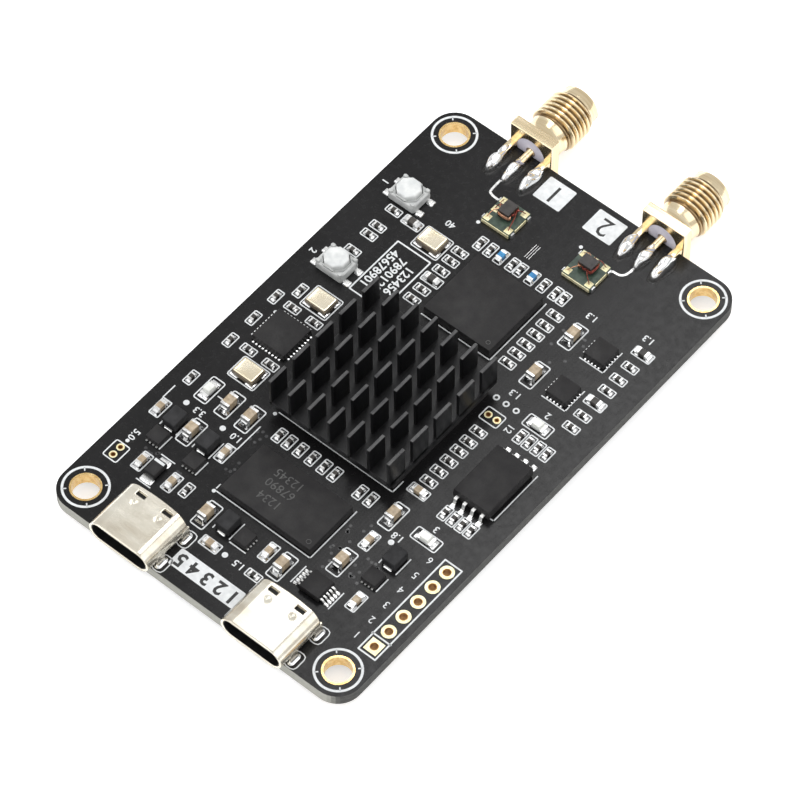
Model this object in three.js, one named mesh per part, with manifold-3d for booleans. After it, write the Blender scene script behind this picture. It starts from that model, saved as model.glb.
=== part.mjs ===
// Bare two-channel radio receiver and signal analyser board, in millimetres.
// Frame: origin at the centre of the mounting-hole pattern on the board's underside,
// +Y towards the coaxial jacks, -Y towards the USB sockets, +Z up out of the parts side.
import * as THREE from 'three';
import { mergeVertices } from 'three/addons/utils/BufferGeometryUtils.js';
import Module from 'manifold-3d';

const wasm = await Module();
wasm.setup();

// ---------------------------------------------------------------- driving dimensions
const BOARD = { width: 44.6, length: 72.8, thick: 1.6, corner: 3.2 };
const HOLES = { spacingX: 38, spacingY: 66, diameter: 3.4 };
const HEADER = { x: 20.1, firstY: -28.1, pitch: 2.54, count: 6, diameter: 1.0 };
const TEST_PADS = { diameter: 0.55, pitch: 1.27, pairs: [[-19.6, -26.4, 0, -1], [10.0, 4.2, 1, 0]] };
const TOP = BOARD.thick;
const SEAT = 0.05;          // solder thickness under every surface-mounted piece
const ROUND = 32;           // sides of a large round shape

const USB = {
  xs: [-9.9, 9.95], front: -37.45, length: 7.15, width: 8.94, height: 3.2, wall: 0.3,
  stakeX: 4.32, stakeYs: [-30.9, -35.1], stakeLength: 1.3, stakeDepth: 1.35, slot: [0.7, 1.75],
  tongueWidth: 6.69, tongueThick: 0.7, tongueBack: 0.7, backDepth: 2.0, backInset: 0.15,
};
const SMA = {
  xs: [-10.05, 10.05], rear: 36.5, axisZ: TOP + 0.55, flange: 6.3, flangeThick: 1.55,
  neckRadius: 2.65, neckEnd: 3.75, threadRadius: 3.17, threadEnd: 8.35, lipRadius: 2.68, end: 9.7,
  boreRadius: 2.3, boreDepth: 1.95, insulatorRadius: 2.05, legWidth: 0.95, legSpread: 2.55,
  legLength: 4.6, pinRadius: 0.635, tailRadius: 0.48, tailLength: 4.7, socketRadius: 0.46,
};
const SOC = { x: -0.3, y: -2.2, size: 17, height: 1.45, padHeight: 0.2 };
const SINK = {
  x: -0.43, y: -2.2, width: 18.15, length: 19.3, base: 0.95, height: 4.95,
  columns: 7, rows: 5, finThick: 0.42, finLength: 2.8,
};
const SWITCH = {
  x: -17.15, ys: [22.3, 9.0], width: 4.1, depth: 3.4, baseHeight: 0.5, height: 1.5,
  wellRadius: 1.62, plungerRadius: 1.5, plungerTop: 2.05, domeHeight: 0.36, domeRadius: 1.4,
  travelGap: 0.1, legLength: 1.0, legWidth: 0.6, legSpread: 1.05, frameGap: 0.02,
};
const BALUN = {
  base: 4.2, baseHeight: 0.65, coreWidth: 2.0, coreLength: 1.6, coreHeight: 1.25, hole: 0.25,
  holeSpread: 0.45, coreBack: 0.35, glue: 0.03,
};
const INDUCTOR = [1.95, 2.55, 1.4];     // width, depth, height
const CAPACITOR = [1.25, 2.0, 1.2];
const CRYSTAL = { width: 3.2, depth: 2.5, lidInset: 0.15 };
const LIGHT = { base: [2.0, 1.2, 0.3], lamp: [1.3, 1.1, 0.75] };
const DIODE = { tabs: [1.9, 3.4, 0.3], body: [1.7, 2.3, 0.95] };
const LEG = { thick: 0.15, bodyLift: 0.1, bury: 0.3 };   // gull-wing legs, and how deep they start

// ---------------------------------------------------------------- materials
function material(color, roughness, metalness) {
  return new THREE.MeshStandardMaterial({ color, roughness, metalness });
}
const solderMask = material(0x1b1b1d, 0.35, 0);
const epoxy = material(0x2a2a2b, 0.7, 0);
const ferrite = material(0x3a3a3d, 0.65, 0.1);
const anodised = material(0x161618, 0.5, 0.6);
const goldPlate = material(0xe0c070, 0.25, 1);
const nickel = material(0xd8d2c4, 0.3, 1);
const whitePlastic = material(0xe8e8e4, 0.5, 0);
const blackPlastic = material(0x18181a, 0.6, 0);
const ptfe = material(0xd9d8e6, 0.6, 0);
const ceramicTan = material(0xb3a58c, 0.6, 0);
const lidMetal = material(0xe6dcc0, 0.35, 1);
const spring = material(0xc8c8c8, 0.3, 1);
const greenLaminate = material(0x2f4a3c, 0.5, 0);
const padGrey = material(0x8d9296, 0.9, 0);

// ---------------------------------------------------------------- small solid tools
function toSolid(geometry) {
  const bare = geometry.clone();
  bare.deleteAttribute('normal');
  bare.deleteAttribute('uv');
  const merged = mergeVertices(bare, 1e-4);
  return new wasm.Manifold(new wasm.Mesh({
    numProp: 3,
    vertProperties: new Float32Array(merged.attributes.position.array),
    triVerts: new Uint32Array(merged.index.array),
  }));
}

function toGeometry(solid) {
  const mesh = solid.getMesh();
  const geometry = new THREE.BufferGeometry();
  geometry.setAttribute('position', new THREE.BufferAttribute(mesh.vertProperties, 3));
  geometry.setIndex(new THREE.BufferAttribute(mesh.triVerts, 1));
  geometry.computeVertexNormals();
  return geometry;
}

function join(...geometries) {
  return toGeometry(geometries.map(toSolid).reduce((whole, piece) => whole.add(piece)));
}

function cut(geometry, ...tools) {
  return toGeometry(tools.map(toSolid).reduce((whole, tool) => whole.subtract(tool), toSolid(geometry)));
}

// Box from its lowest corner's height, centred in x and y.
function block(width, depth, height, x = 0, y = 0, z = 0) {
  return new THREE.BoxGeometry(width, depth, height).translate(x, y, z + height / 2);
}

// Turned piece about the Z axis from [radius, z] points, which start and end on the axis or close.
function turned(points, sides = ROUND) {
  const outline = points.map(([radius, z]) => new THREE.Vector2(radius, z));
  return new THREE.LatheGeometry(outline, sides).rotateX(Math.PI / 2);
}

// Points along a circular arc, angles in degrees.
function arc(x, y, radius, from, to, steps) {
  return Array.from({ length: steps + 1 }, (_, i) => {
    const angle = THREE.MathUtils.degToRad(from + ((to - from) * i) / steps);
    return new THREE.Vector2(x + radius * Math.cos(angle), y + radius * Math.sin(angle));
  });
}

// Rectangle with round corners, counter-clockwise.
function roundedRectangle(width, height, radius, steps, x = 0, y = 0) {
  const w = width / 2 - radius;
  const h = height / 2 - radius;
  return [
    ...arc(x + w, y - h, radius, -90, 0, steps), ...arc(x + w, y + h, radius, 0, 90, steps),
    ...arc(x - w, y + h, radius, 90, 180, steps), ...arc(x - w, y - h, radius, 180, 270, steps),
  ];
}

function extruded(outline, depth, holes = []) {
  const shape = new THREE.Shape(outline);
  shape.holes = holes.map((points) => new THREE.Path(points));
  return new THREE.ExtrudeGeometry(shape, { depth, bevelEnabled: false });
}

const group = new THREE.Group();

function place(name, geometry, finish, x = 0, y = 0, z = 0) {
  const mesh = new THREE.Mesh(geometry, finish);
  mesh.name = name;
  mesh.position.set(x, y, z);
  group.add(mesh);
}

// ---------------------------------------------------------------- circuit board
function circle(x, y, diameter, sides) {
  return arc(x, y, diameter / 2, 0, 360 - 360 / sides, sides - 1);
}

function boardGeometry() {
  const holes = [];
  for (const sx of [-1, 1]) {
    for (const sy of [-1, 1]) {
      holes.push(circle((sx * HOLES.spacingX) / 2, (sy * HOLES.spacingY) / 2, HOLES.diameter, ROUND));
    }
  }
  for (let i = 0; i < HEADER.count; i += 1) {
    holes.push(circle(HEADER.x, HEADER.firstY + i * HEADER.pitch, HEADER.diameter, 16));
  }
  for (const [x, y, dx, dy] of TEST_PADS.pairs) {
    holes.push(circle(x, y, TEST_PADS.diameter, 10));
    holes.push(circle(x + dx * TEST_PADS.pitch, y + dy * TEST_PADS.pitch, TEST_PADS.diameter, 10));
  }
  for (const x of USB.xs) {
    for (const side of [-1, 1]) {
      for (const y of USB.stakeYs) {
        holes.push(roundedRectangle(...USB.slot, USB.slot[0] / 2, 3, x + side * USB.stakeX, y));
      }
    }
  }
  const outline = roundedRectangle(BOARD.width, BOARD.length, BOARD.corner, 10);
  return extruded(outline, BOARD.thick, holes);
}
place('circuit_board', boardGeometry(), solderMask);

// ---------------------------------------------------------------- chips without legs
const plainChips = [
  // name, x, y, width, depth, height
  ['soc_chip', SOC.x, SOC.y, SOC.size, SOC.size, SOC.height],
  ['transceiver_chip', 0.0, 15.4, 10, 10, 1.3],
  ['memory_chip', 0.0, -19.8, 13.5, 7.6, 1.1],
  ['usb_link_chip', -15.55, -2.75, 5, 5, 0.85],
  ['transmit_regulator', 14.75, 19.1, 3, 3, 0.85],
  ['receive_regulator', 14.75, 12.1, 3, 3, 0.85],
  ['converter_1', -17.15, -22.65, 2.1, 2.1, 0.75],
  ['converter_2', -11.6, -22.65, 2.1, 2.1, 0.75],
  ['converter_3', -0.3, -26.75, 2.1, 2.1, 0.75],
  ['converter_4', 14.3, -21.4, 2.1, 2.1, 0.75],
];
for (const [name, x, y, width, depth, height] of plainChips) {
  place(name, block(width, depth, height), epoxy, x, y, TOP + SEAT);
}

// ---------------------------------------------------------------- chips with gull-wing legs
// Legs stand on both sides of the body along the given direction: foot, riser and shoulder.
function gullWing(width, depth, height, legs, pitch, legWidth, reach) {
  const pieces = [block(width, depth, height - LEG.bodyLift, 0, 0, LEG.bodyLift)];
  const shoulderZ = height / 2;
  for (let i = 0; i < legs; i += 1) {
    const x = (i - (legs - 1) / 2) * pitch;
    for (const side of [-1, 1]) {
      const edge = (side * depth) / 2;
      const inner = edge - side * LEG.bury;
      const knee = edge + side * reach * 0.4;
      const heel = knee - side * LEG.thick;
      const toe = edge + side * reach;
      const run = (from, to, z, rise) => block(legWidth, Math.abs(to - from), rise, x, (from + to) / 2, z);
      pieces.push(run(inner, knee, shoulderZ, LEG.thick));
      pieces.push(run(heel, knee, 0, shoulderZ + LEG.thick));
      pieces.push(run(heel, toe, 0, LEG.thick));
    }
  }
  return join(...pieces);
}
place('flash_chip', gullWing(5.3, 8.1, 1.75, 4, 1.27, 0.42, 1.2), epoxy, 16.75, -3.15, TOP + SEAT);
place('usb_power_switch', gullWing(3, 3, 1.0, 5, 0.5, 0.24, 1.0).rotateZ(Math.PI / 2), epoxy,
  10.15, -26.4, TOP + SEAT);

// ---------------------------------------------------------------- heat sink on its thermal pad
place('thermal_pad', block(15, 15, SOC.padHeight), padGrey, SOC.x, SOC.y, TOP + SEAT + SOC.height);

function heatSinkGeometry() {
  const pieces = [block(SINK.width, SINK.length, SINK.base)];
  const stepX = (SINK.width - SINK.finThick) / (SINK.columns - 1);
  const stepY = (SINK.length - SINK.finLength) / (SINK.rows - 1);
  for (let i = 0; i < SINK.columns; i += 1) {
    for (let j = 0; j < SINK.rows; j += 1) {
      const x = (i - (SINK.columns - 1) / 2) * stepX;
      const y = (j - (SINK.rows - 1) / 2) * stepY;
      pieces.push(block(SINK.finThick, SINK.finLength, SINK.height - SINK.base / 2, x, y, SINK.base / 2));
    }
  }
  return join(...pieces);
}
place('heat_sink', heatSinkGeometry(), anodised, SINK.x, SINK.y, TOP + SEAT + SOC.height + SOC.padHeight);

// ---------------------------------------------------------------- power inductors and crystals
const inductors = [[-17.05, -19.75], [-12.05, -19.75], [-2.95, -26.5], [14.6, -18.0]];
inductors.forEach(([x, y], i) => {
  place(`inductor_${i + 1}`, block(...INDUCTOR), ferrite, x, y, TOP + SEAT);
});

// Ceramic box with a seam-welded metal lid.
function crystalGeometry(height) {
  const lidWidth = CRYSTAL.width - 2 * CRYSTAL.lidInset;
  const lidDepth = CRYSTAL.depth - 2 * CRYSTAL.lidInset;
  return join(block(CRYSTAL.width, CRYSTAL.depth, height * 0.75),
    block(lidWidth, lidDepth, height / 2, 0, 0, height / 2));
}
const crystals = [
  // name, x, y, height
  ['reference_oscillator', -10.7, 18.85, 1.0],
  ['usb_crystal', -15.1, 3.85, 0.8],
  ['soc_crystal', -15.05, -9.2, 0.8],
];
for (const [name, x, y, height] of crystals) {
  place(name, crystalGeometry(height), lidMetal, x, y, TOP + SEAT);
}

// ---------------------------------------------------------------- status lights
function lightGeometry() {
  return join(block(...LIGHT.base), block(...LIGHT.lamp));
}
const lights = [['power_light', -17.0, -13.9, true], ['status_light', 15.45, 6.6, false],
  ['done_light', 15.5, -13.5, false]];
for (const [name, x, y, upright] of lights) {
  const geometry = lightGeometry();
  if (upright) geometry.rotateZ(Math.PI / 2);
  place(name, geometry, whitePlastic, x, y, TOP + SEAT);
}

// ---------------------------------------------------------------- large capacitors and input diode
const capacitors = [[10.6, 19.0], [10.6, 11.9], [-13.8, -13.95], [-10.7, -13.95], [-14.7, -19.6],
  [10.6, -13.5], [10.1, -21.95], [-5.85, -27.0], [5.3, -26.75]];
capacitors.forEach(([x, y], i) => {
  place(`capacitor_${i + 1}`, block(...CAPACITOR), ceramicTan, x, y, TOP + SEAT);
});
place('input_diode', join(block(...DIODE.tabs), block(...DIODE.body)), epoxy, -14.3, -26.25, TOP + SEAT);

// ---------------------------------------------------------------- wound radio transformers
// A laminate base carries a two-hole ferrite core. Its holes run along Y in the receive path,
// and a quarter turn from that in the transmit path.
const transformers = [['transmit', -6.2, 27.2, Math.PI / 2], ['receive', 6.05, 27.2, 0]];
for (const [name, x, y, turn] of transformers) {
  const baseZ = TOP + SEAT;
  const base = block(BALUN.base, BALUN.base, BALUN.baseHeight);
  place(`${name}_transformer_base`, base, greenLaminate, x, y, baseZ);
  const bores = [-BALUN.holeSpread, BALUN.holeSpread].map((offset) => new THREE.CylinderGeometry(
    BALUN.hole, BALUN.hole, 2 * BALUN.coreLength, 12).translate(offset, 0, BALUN.coreHeight / 2));
  const core = cut(block(BALUN.coreWidth, BALUN.coreLength, BALUN.coreHeight), ...bores).rotateZ(turn);
  const coreZ = baseZ + BALUN.baseHeight + BALUN.glue;
  place(`${name}_transformer_core`, core, ferrite, x, y + BALUN.coreBack, coreZ);
}

// ---------------------------------------------------------------- push switches
// From the board up: base with four solder legs, snap dome, plunger, and the frame round both.
function octagon(radius, height, z) {
  return new THREE.CylinderGeometry(radius, radius, height, 8).rotateX(Math.PI / 2)
    .rotateZ(Math.PI / 8).translate(0, 0, z + height / 2);
}
const acrossCorners = 1 / Math.cos(Math.PI / 8);

function switchBase() {
  const legs = [-1, 1].flatMap((sx) => [-1, 1].map((sy) => block(SWITCH.legLength, SWITCH.legWidth,
    LEG.thick, sx * (SWITCH.width / 2 + 0.2), sy * SWITCH.legSpread, 0)));
  return join(block(SWITCH.width, SWITCH.depth, SWITCH.baseHeight), ...legs);
}

function switchFrame() {
  const bottom = SWITCH.baseHeight + SWITCH.frameGap;
  const ring = block(SWITCH.width, SWITCH.depth, SWITCH.height - bottom, 0, 0, bottom);
  return cut(ring, octagon(SWITCH.wellRadius * acrossCorners, 3, 0));
}

function domeGeometry() {
  const foot = -SWITCH.domeHeight;
  const thick = 0.08;
  const rim = SWITCH.domeRadius;
  return turned([[0, 0], [rim - 0.45, -0.06], [rim - 0.15, foot], [rim, foot], [rim, foot + thick],
    [rim - 0.1, foot + thick], [rim - 0.4, thick - 0.06], [0, thick]], 24);
}

for (const [index, name] of ['user', 'reset'].entries()) {
  const y = SWITCH.ys[index];
  const z = TOP + SEAT;
  const domeTop = SWITCH.baseHeight + SWITCH.frameGap + SWITCH.domeHeight;
  const plungerBottom = domeTop + SWITCH.travelGap;
  place(`${name}_switch_base`, switchBase(), whitePlastic, SWITCH.x, y, z);
  place(`${name}_switch_frame`, switchFrame(), whitePlastic, SWITCH.x, y, z);
  place(`${name}_switch_dome`, domeGeometry(), spring, SWITCH.x, y, z + domeTop);
  const plunger = octagon(SWITCH.plungerRadius * acrossCorners, SWITCH.plungerTop - plungerBottom, 0);
  place(`${name}_button`, plunger, whitePlastic, SWITCH.x, y, z + plungerBottom);
}

// ---------------------------------------------------------------- USB-C sockets
// Stadium tube with four stakes that stand in the board's slots; local +Y points back into the board.
function usbOutline(inset) {
  const height = USB.height - 2 * inset;
  return roundedRectangle(USB.width - 2 * inset, height, height / 2 - 0.01, 8, 0, USB.height / 2);
}

function usbShell() {
  const tube = extruded(usbOutline(0), USB.length, [usbOutline(USB.wall)]).rotateX(Math.PI / 2)
    .translate(0, USB.length, 0);
  const stakes = [-1, 1].flatMap((side) => USB.stakeYs.map((y) => block(USB.wall, USB.stakeLength,
    USB.height / 2 + USB.stakeDepth, side * (USB.width - USB.wall) / 2, y - USB.front, -USB.stakeDepth)));
  return join(tube, ...stakes);
}

function usbInsert() {
  const gap = 0.08;
  const back = extruded(usbOutline(USB.wall + gap), USB.backDepth).rotateX(Math.PI / 2)
    .translate(0, USB.length - USB.backInset, 0);
  const tongueLength = USB.length - USB.backDepth - USB.tongueBack;
  const tongue = block(USB.tongueWidth, tongueLength, USB.tongueThick, 0,
    USB.tongueBack + tongueLength / 2, USB.height / 2 - USB.tongueThick / 2);
  return join(back, tongue);
}

for (const [index, side] of ['left', 'right'].entries()) {
  place(`${side}_usb_shell`, usbShell(), nickel, USB.xs[index], USB.front, TOP + SEAT);
  place(`${side}_usb_insert`, usbInsert(), blackPlastic, USB.xs[index], USB.front, TOP + SEAT);
}

// ---------------------------------------------------------------- coaxial jacks
// Turned pieces are drawn about Z and swung so that local +Y is the mating direction.
function alongY(geometry) {
  return geometry.rotateX(-Math.PI / 2);
}

function jackBody() {
  const flange = block(SMA.flange, SMA.flangeThick, SMA.flange, 0, SMA.flangeThick / 2, -SMA.flange / 2);
  const barrel = alongY(turned([[0, 0.5], [SMA.neckRadius, 0.5], [SMA.neckRadius, SMA.neckEnd],
    [SMA.threadRadius, SMA.neckEnd + 0.45], [SMA.threadRadius, SMA.threadEnd - 0.45],
    [SMA.lipRadius, SMA.threadEnd], [SMA.lipRadius, SMA.end], [0, SMA.end]]));
  const upperZ = TOP + 0.03 - SMA.axisZ;
  const lowerZ = -0.05 - SMA.legWidth - SMA.axisZ;
  const legs = [-1, 1].flatMap((side) => [upperZ, lowerZ].map((z) => block(SMA.legWidth,
    SMA.legLength + 0.5, SMA.legWidth, side * SMA.legSpread, 0.5 - (SMA.legLength + 0.5) / 2, z)));
  const bore = alongY(turned([[0, -1], [SMA.insulatorRadius + 0.05, -1],
    [SMA.insulatorRadius + 0.05, SMA.end - SMA.boreDepth], [SMA.boreRadius, SMA.end - SMA.boreDepth],
    [SMA.boreRadius, SMA.end + 1], [0, SMA.end + 1]]));
  return cut(join(flange, barrel, ...legs), bore);
}

function jackInsulator() {
  const front = SMA.end - SMA.boreDepth - 0.02;
  const hole = SMA.pinRadius + 0.06;
  return alongY(turned([[hole, 0.02], [SMA.insulatorRadius, 0.02], [SMA.insulatorRadius, front],
    [hole, front], [hole, 0.02]]));
}

function jackPin() {
  const front = SMA.end - SMA.boreDepth + 0.05;
  return alongY(turned([[0, -SMA.tailLength], [SMA.tailRadius, -SMA.tailLength], [SMA.tailRadius, 0],
    [SMA.pinRadius, 0.1], [SMA.pinRadius, front], [SMA.socketRadius, front],
    [SMA.socketRadius, front - 2.2], [0, front - 2.4]], 20));
}

for (const [index, side] of ['transmit', 'receive'].entries()) {
  const at = [SMA.xs[index], SMA.rear, SMA.axisZ];
  place(`${side}_jack_body`, jackBody(), goldPlate, ...at);
  place(`${side}_jack_insulator`, jackInsulator(), ptfe, ...at);
  place(`${side}_jack_contact`, jackPin(), goldPlate, ...at);
}

export default group;
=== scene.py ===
# %% [markdown]
# # A bare two-channel radio board, piece by piece
#
# The object is a populated circuit board: a black laminate sheet with chips, a pin-fin heat
# sink, two USB-C sockets at one end and two gilt coaxial jacks at the other. The CAD model
# already fixes every size and position, so this lesson only gives each piece its real surface.
# Everything below is worked out in millimetres, because that is how a board is drawn, and is
# turned into metres in one place, where a mesh is made.

import math

import bpy
import numpy as np
from mathutils import Matrix, Vector


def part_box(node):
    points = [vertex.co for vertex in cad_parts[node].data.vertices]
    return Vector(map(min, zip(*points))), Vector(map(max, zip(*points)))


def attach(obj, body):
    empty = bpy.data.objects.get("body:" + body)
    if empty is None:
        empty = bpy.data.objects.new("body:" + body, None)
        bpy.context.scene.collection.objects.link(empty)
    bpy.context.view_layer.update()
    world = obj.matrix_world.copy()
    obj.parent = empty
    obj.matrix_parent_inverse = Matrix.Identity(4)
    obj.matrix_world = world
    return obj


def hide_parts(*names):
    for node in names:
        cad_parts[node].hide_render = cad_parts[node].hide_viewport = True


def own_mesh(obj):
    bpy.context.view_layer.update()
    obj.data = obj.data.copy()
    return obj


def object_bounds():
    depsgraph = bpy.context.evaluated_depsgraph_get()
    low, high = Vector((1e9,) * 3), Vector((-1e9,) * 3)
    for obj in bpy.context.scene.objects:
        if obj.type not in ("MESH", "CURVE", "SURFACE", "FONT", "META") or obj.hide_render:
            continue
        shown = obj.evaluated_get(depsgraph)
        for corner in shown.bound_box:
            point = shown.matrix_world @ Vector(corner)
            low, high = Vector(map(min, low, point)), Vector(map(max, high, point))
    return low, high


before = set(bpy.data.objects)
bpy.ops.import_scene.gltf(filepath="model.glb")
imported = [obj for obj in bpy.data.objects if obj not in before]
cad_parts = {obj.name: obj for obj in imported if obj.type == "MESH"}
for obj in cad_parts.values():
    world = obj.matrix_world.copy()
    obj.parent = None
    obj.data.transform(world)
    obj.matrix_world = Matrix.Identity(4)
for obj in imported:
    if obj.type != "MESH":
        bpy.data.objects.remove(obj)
cad_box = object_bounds()
MM = 0.001
print("CAD box, mm:", [[round(c / MM, 2) for c in corner] for corner in cad_box])


def span(node):
    """A CAD node's lowest and highest corner, in millimetres."""
    low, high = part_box(node)
    return np.array(low) / MM, np.array(high) / MM


def middle(node):
    """The point halfway between a CAD node's two corners, in millimetres."""
    low, high = span(node)
    return (low + high) / 2


TOP = span("circuit_board")[1][2]
print("board top is at z =", round(TOP, 3), "mm")

# %% [markdown]
# ## Shells
#
# Nearly every part on a board is a moulded block or a turned piece. Both are the same surface:
# a closed outline that is carried through a list of stations, growing or shrinking on the way.
# A box with a bevel modifier could stand for each one, but then a chip, a crystal can and a
# solder fillet would all share one edge. With a short profile each gets its own.

# %% The two surfaces behind most pieces
def loft(rings, caps=True, wrap=False):
    """Rings stacked into a shell: point (i, j) is point j of ring i, and each patch between
    ring i and ring i + 1 is one quad. Caps fill the first and last ring; wrap joins them."""
    rings = np.asarray(rings, float)
    count, around = rings.shape[:2]
    i, j = np.meshgrid(np.arange(count if wrap else count - 1), np.arange(around), indexing="ij")
    nxt = (i + 1) % count
    turn = (j + 1) % around
    quads = np.stack([i * around + j, i * around + turn, nxt * around + turn, nxt * around + j], -1)
    blocks = [quads.reshape(-1, 4)]
    if caps and not wrap:
        blocks.append(np.arange(around)[::-1][None])
        blocks.append((np.arange(around) + (count - 1) * around)[None])
    return rings.reshape(-1, 3), blocks


def rounded(width, depth, corner, steps=3):
    """A rectangle with round corners, counter-clockwise: each quarter turn is an arc of the
    corner radius about a centre that sits one radius in from both sides."""
    turn = np.linspace(0, math.pi / 2, steps + 1)
    quarters = np.arange(4)[:, None] * math.pi / 2 + turn
    centres = np.array([[1, 1], [-1, 1], [-1, -1], [1, -1]]) * [width / 2 - corner, depth / 2 - corner]
    arcs = np.stack([np.cos(quarters), np.sin(quarters)], -1) * corner
    return (arcs + centres[:, None]).reshape(-1, 2)


def circle(radius, sides=32):
    """Points at equal angles round a circle: (r cos a, r sin a)."""
    angle = np.linspace(0, 2 * math.pi, sides, endpoint=False)
    return np.stack([np.cos(angle), np.sin(angle)], -1) * radius


def level(outline, z):
    """A flat outline lifted to height z."""
    return np.column_stack([outline, np.full(len(outline), z)])


def moulded(width, depth, corner, profile, steps=3):
    """A block whose outline is drawn in by each profile entry (inset, height), bottom to top."""
    rings = [level(rounded(width - 2 * inset, depth - 2 * inset, max(corner - inset, 0.01), steps), z)
             for inset, z in profile]
    return loft(rings)


def washer(outer, inner, low, high):
    """A flat ring between two outlines with the same number of points: up outside, down inside."""
    return loft([level(outer, low), level(outer, high), level(inner, high), level(inner, low)], wrap=True)


def bar(width, depth, low, high, ease=0.02):
    """A small block with its upper edges eased."""
    return moulded(width, depth, ease, [(0, low), (0, high - ease), (ease, high)], steps=1)


# %% Placing shells and making pieces
def put(shell, x=0.0, y=0.0, z=0.0, turn=0.0):
    """The shell turned about Z by so many degrees, then moved: p' = R p + (x, y, z)."""
    points, blocks = shell
    c, s = math.cos(math.radians(turn)), math.sin(math.radians(turn))
    spin = np.array([[c, -s, 0], [s, c, 0], [0, 0, 1]])
    return points @ spin.T + [x, y, z], blocks


def along_y(shell):
    """A shell drawn about Z, laid down so that its +Z points along +Y: (x, y, z) to (x, z, -y)."""
    points, blocks = shell
    return np.column_stack([points[:, 0], points[:, 2], -points[:, 1]]), blocks


def heap(shells):
    """Several shells as one: each shell's face numbers move on by the points before it."""
    starts = np.cumsum([0] + [len(points) for points, _ in shells])
    points = np.concatenate([points for points, _ in shells])
    return points, [block + start for (_, blocks), start in zip(shells, starts) for block in blocks]


made = []


def piece(name, shell, finish, body="board", instead_of=(), crease=38):
    """Makes the mesh in metres, shades it smooth up to the crease angle, and hangs it on a body."""
    points, blocks = shell
    mesh = bpy.data.meshes.new(name)
    mesh.from_pydata((points * MM).tolist(), [], [face for block in blocks for face in block.tolist()])
    mesh.materials.append(finish)
    mesh.shade_smooth()
    mesh.set_sharp_from_angle(angle=math.radians(crease))
    made_object = bpy.data.objects.new(name, mesh)
    bpy.context.scene.collection.objects.link(made_object)
    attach(made_object, body)
    if instead_of:
        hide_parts(*instead_of)
    made.append(made_object)
    return made_object


print("shell tools ready")

# %% [markdown]
# ## Finishes
#
# Every finish starts from noise read in Object coordinates, so it stays put on the part and
# can be baked. One small class keeps the wiring short: it makes a Principled shader and offers
# the few nodes that vary it. Painted image textures would be heavier and blurrier this close.

# %% A kit for procedural finishes
class Finish:
    """A Principled material and the nodes that vary its colour, gloss and relief."""

    def __init__(self, name, roughness, metallic=0.0, **fixed):
        self.material = bpy.data.materials.new(name)
        self.material.use_nodes = True
        self.tree = self.material.node_tree
        self.shader = self.tree.nodes["Principled BSDF"]
        self.shader.inputs["Roughness"].default_value = roughness
        self.shader.inputs["Metallic"].default_value = metallic
        for socket, value in fixed.items():
            self.shader.inputs[socket.replace("_", " ")].default_value = value
        self.where = self.tree.nodes.new("ShaderNodeTexCoord").outputs["Object"]

    def add(self, kind, settings=(), **inputs):
        """A node of that kind, with its settings and its inputs set or linked."""
        node = self.tree.nodes.new("ShaderNode" + kind)
        for key, value in dict(settings).items():
            setattr(node, key, value)
        for key, value in inputs.items():
            self.join(value, node.inputs[int(key[1:]) if key[1:].isdigit() else key.replace("_", " ")])
        return node

    def join(self, value, socket):
        if isinstance(value, bpy.types.NodeSocket):
            self.tree.links.new(value, socket)
        else:
            socket.default_value = value

    def noise(self, size, detail=2.0, stretch=(1, 1, 1)):
        """Cloudy noise whose blotches are about size millimetres, longer along a stretched axis."""
        scale = [1 / (size * MM * s) for s in stretch]
        mapped = self.add("Mapping", Vector=self.where, Scale=scale).outputs["Vector"]
        return self.add("TexNoise", Vector=mapped, Scale=1.0, Detail=detail).outputs[0]

    def stripes(self, pitch, axis):
        """Soft waves of that pitch in millimetres across one axis."""
        settings = {"bands_direction": axis, "wave_profile": "SIN"}
        scale = 1 / (pitch * MM) / 3.1831
        return self.add("TexWave", settings, Vector=self.where, Scale=scale, Distortion=0.6).outputs[1]

    def sum(self, operation, first, second):
        return self.add("Math", {"operation": operation}, _0=first, _1=second).outputs[0]

    def between(self, factor, low, high):
        """The factor from about 0.3 to 0.7 spread over low to high."""
        fitted = self.add("MapRange", Value=factor, From_Min=0.3, From_Max=0.7, To_Min=low, To_Max=high)
        return fitted.outputs["Result"]

    def ramp(self, factor, *tones):
        """Colours spaced evenly over the middle of the factor's range."""
        node = self.add("ValToRGB", _0=factor)
        band = node.color_ramp
        while len(band.elements) < len(tones):
            band.elements.new(0.5)
        for element, place, tone in zip(band.elements, np.linspace(0.3, 0.7, len(tones)), tones):
            element.position = place
            element.color = (*tone, 1)
        return node.outputs["Color"]

    def blend(self, factor, first, second):
        """First colour where the factor is 0, second where it is 1."""
        node = self.add("Mix", {"data_type": "RGBA"})
        self.join(factor, node.inputs["Factor"])
        for socket, value in ((node.inputs[6], first), (node.inputs[7], second)):
            self.join(value if isinstance(value, bpy.types.NodeSocket) else (*value, 1), socket)
        return node.outputs[2]

    def facing(self, axis):
        """How squarely the surface faces along an axis, 0 to 1."""
        normal = self.add("NewGeometry").outputs["Normal"]
        part = self.add("SeparateXYZ", Vector=normal).outputs[axis]
        return self.sum("ABSOLUTE", part, 0.0)

    def colour(self, value):
        self.join(value, self.shader.inputs["Base Color"])
        return self

    def gloss(self, value):
        self.join(value, self.shader.inputs["Roughness"])
        return self

    def relief(self, height, depth, strength=1.0):
        """Bump of so many millimetres from the height factor."""
        bump = self.add("Bump", Strength=strength, Distance=depth * MM, Height=height)
        self.join(bump.outputs["Normal"], self.shader.inputs["Normal"])
        return self


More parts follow.
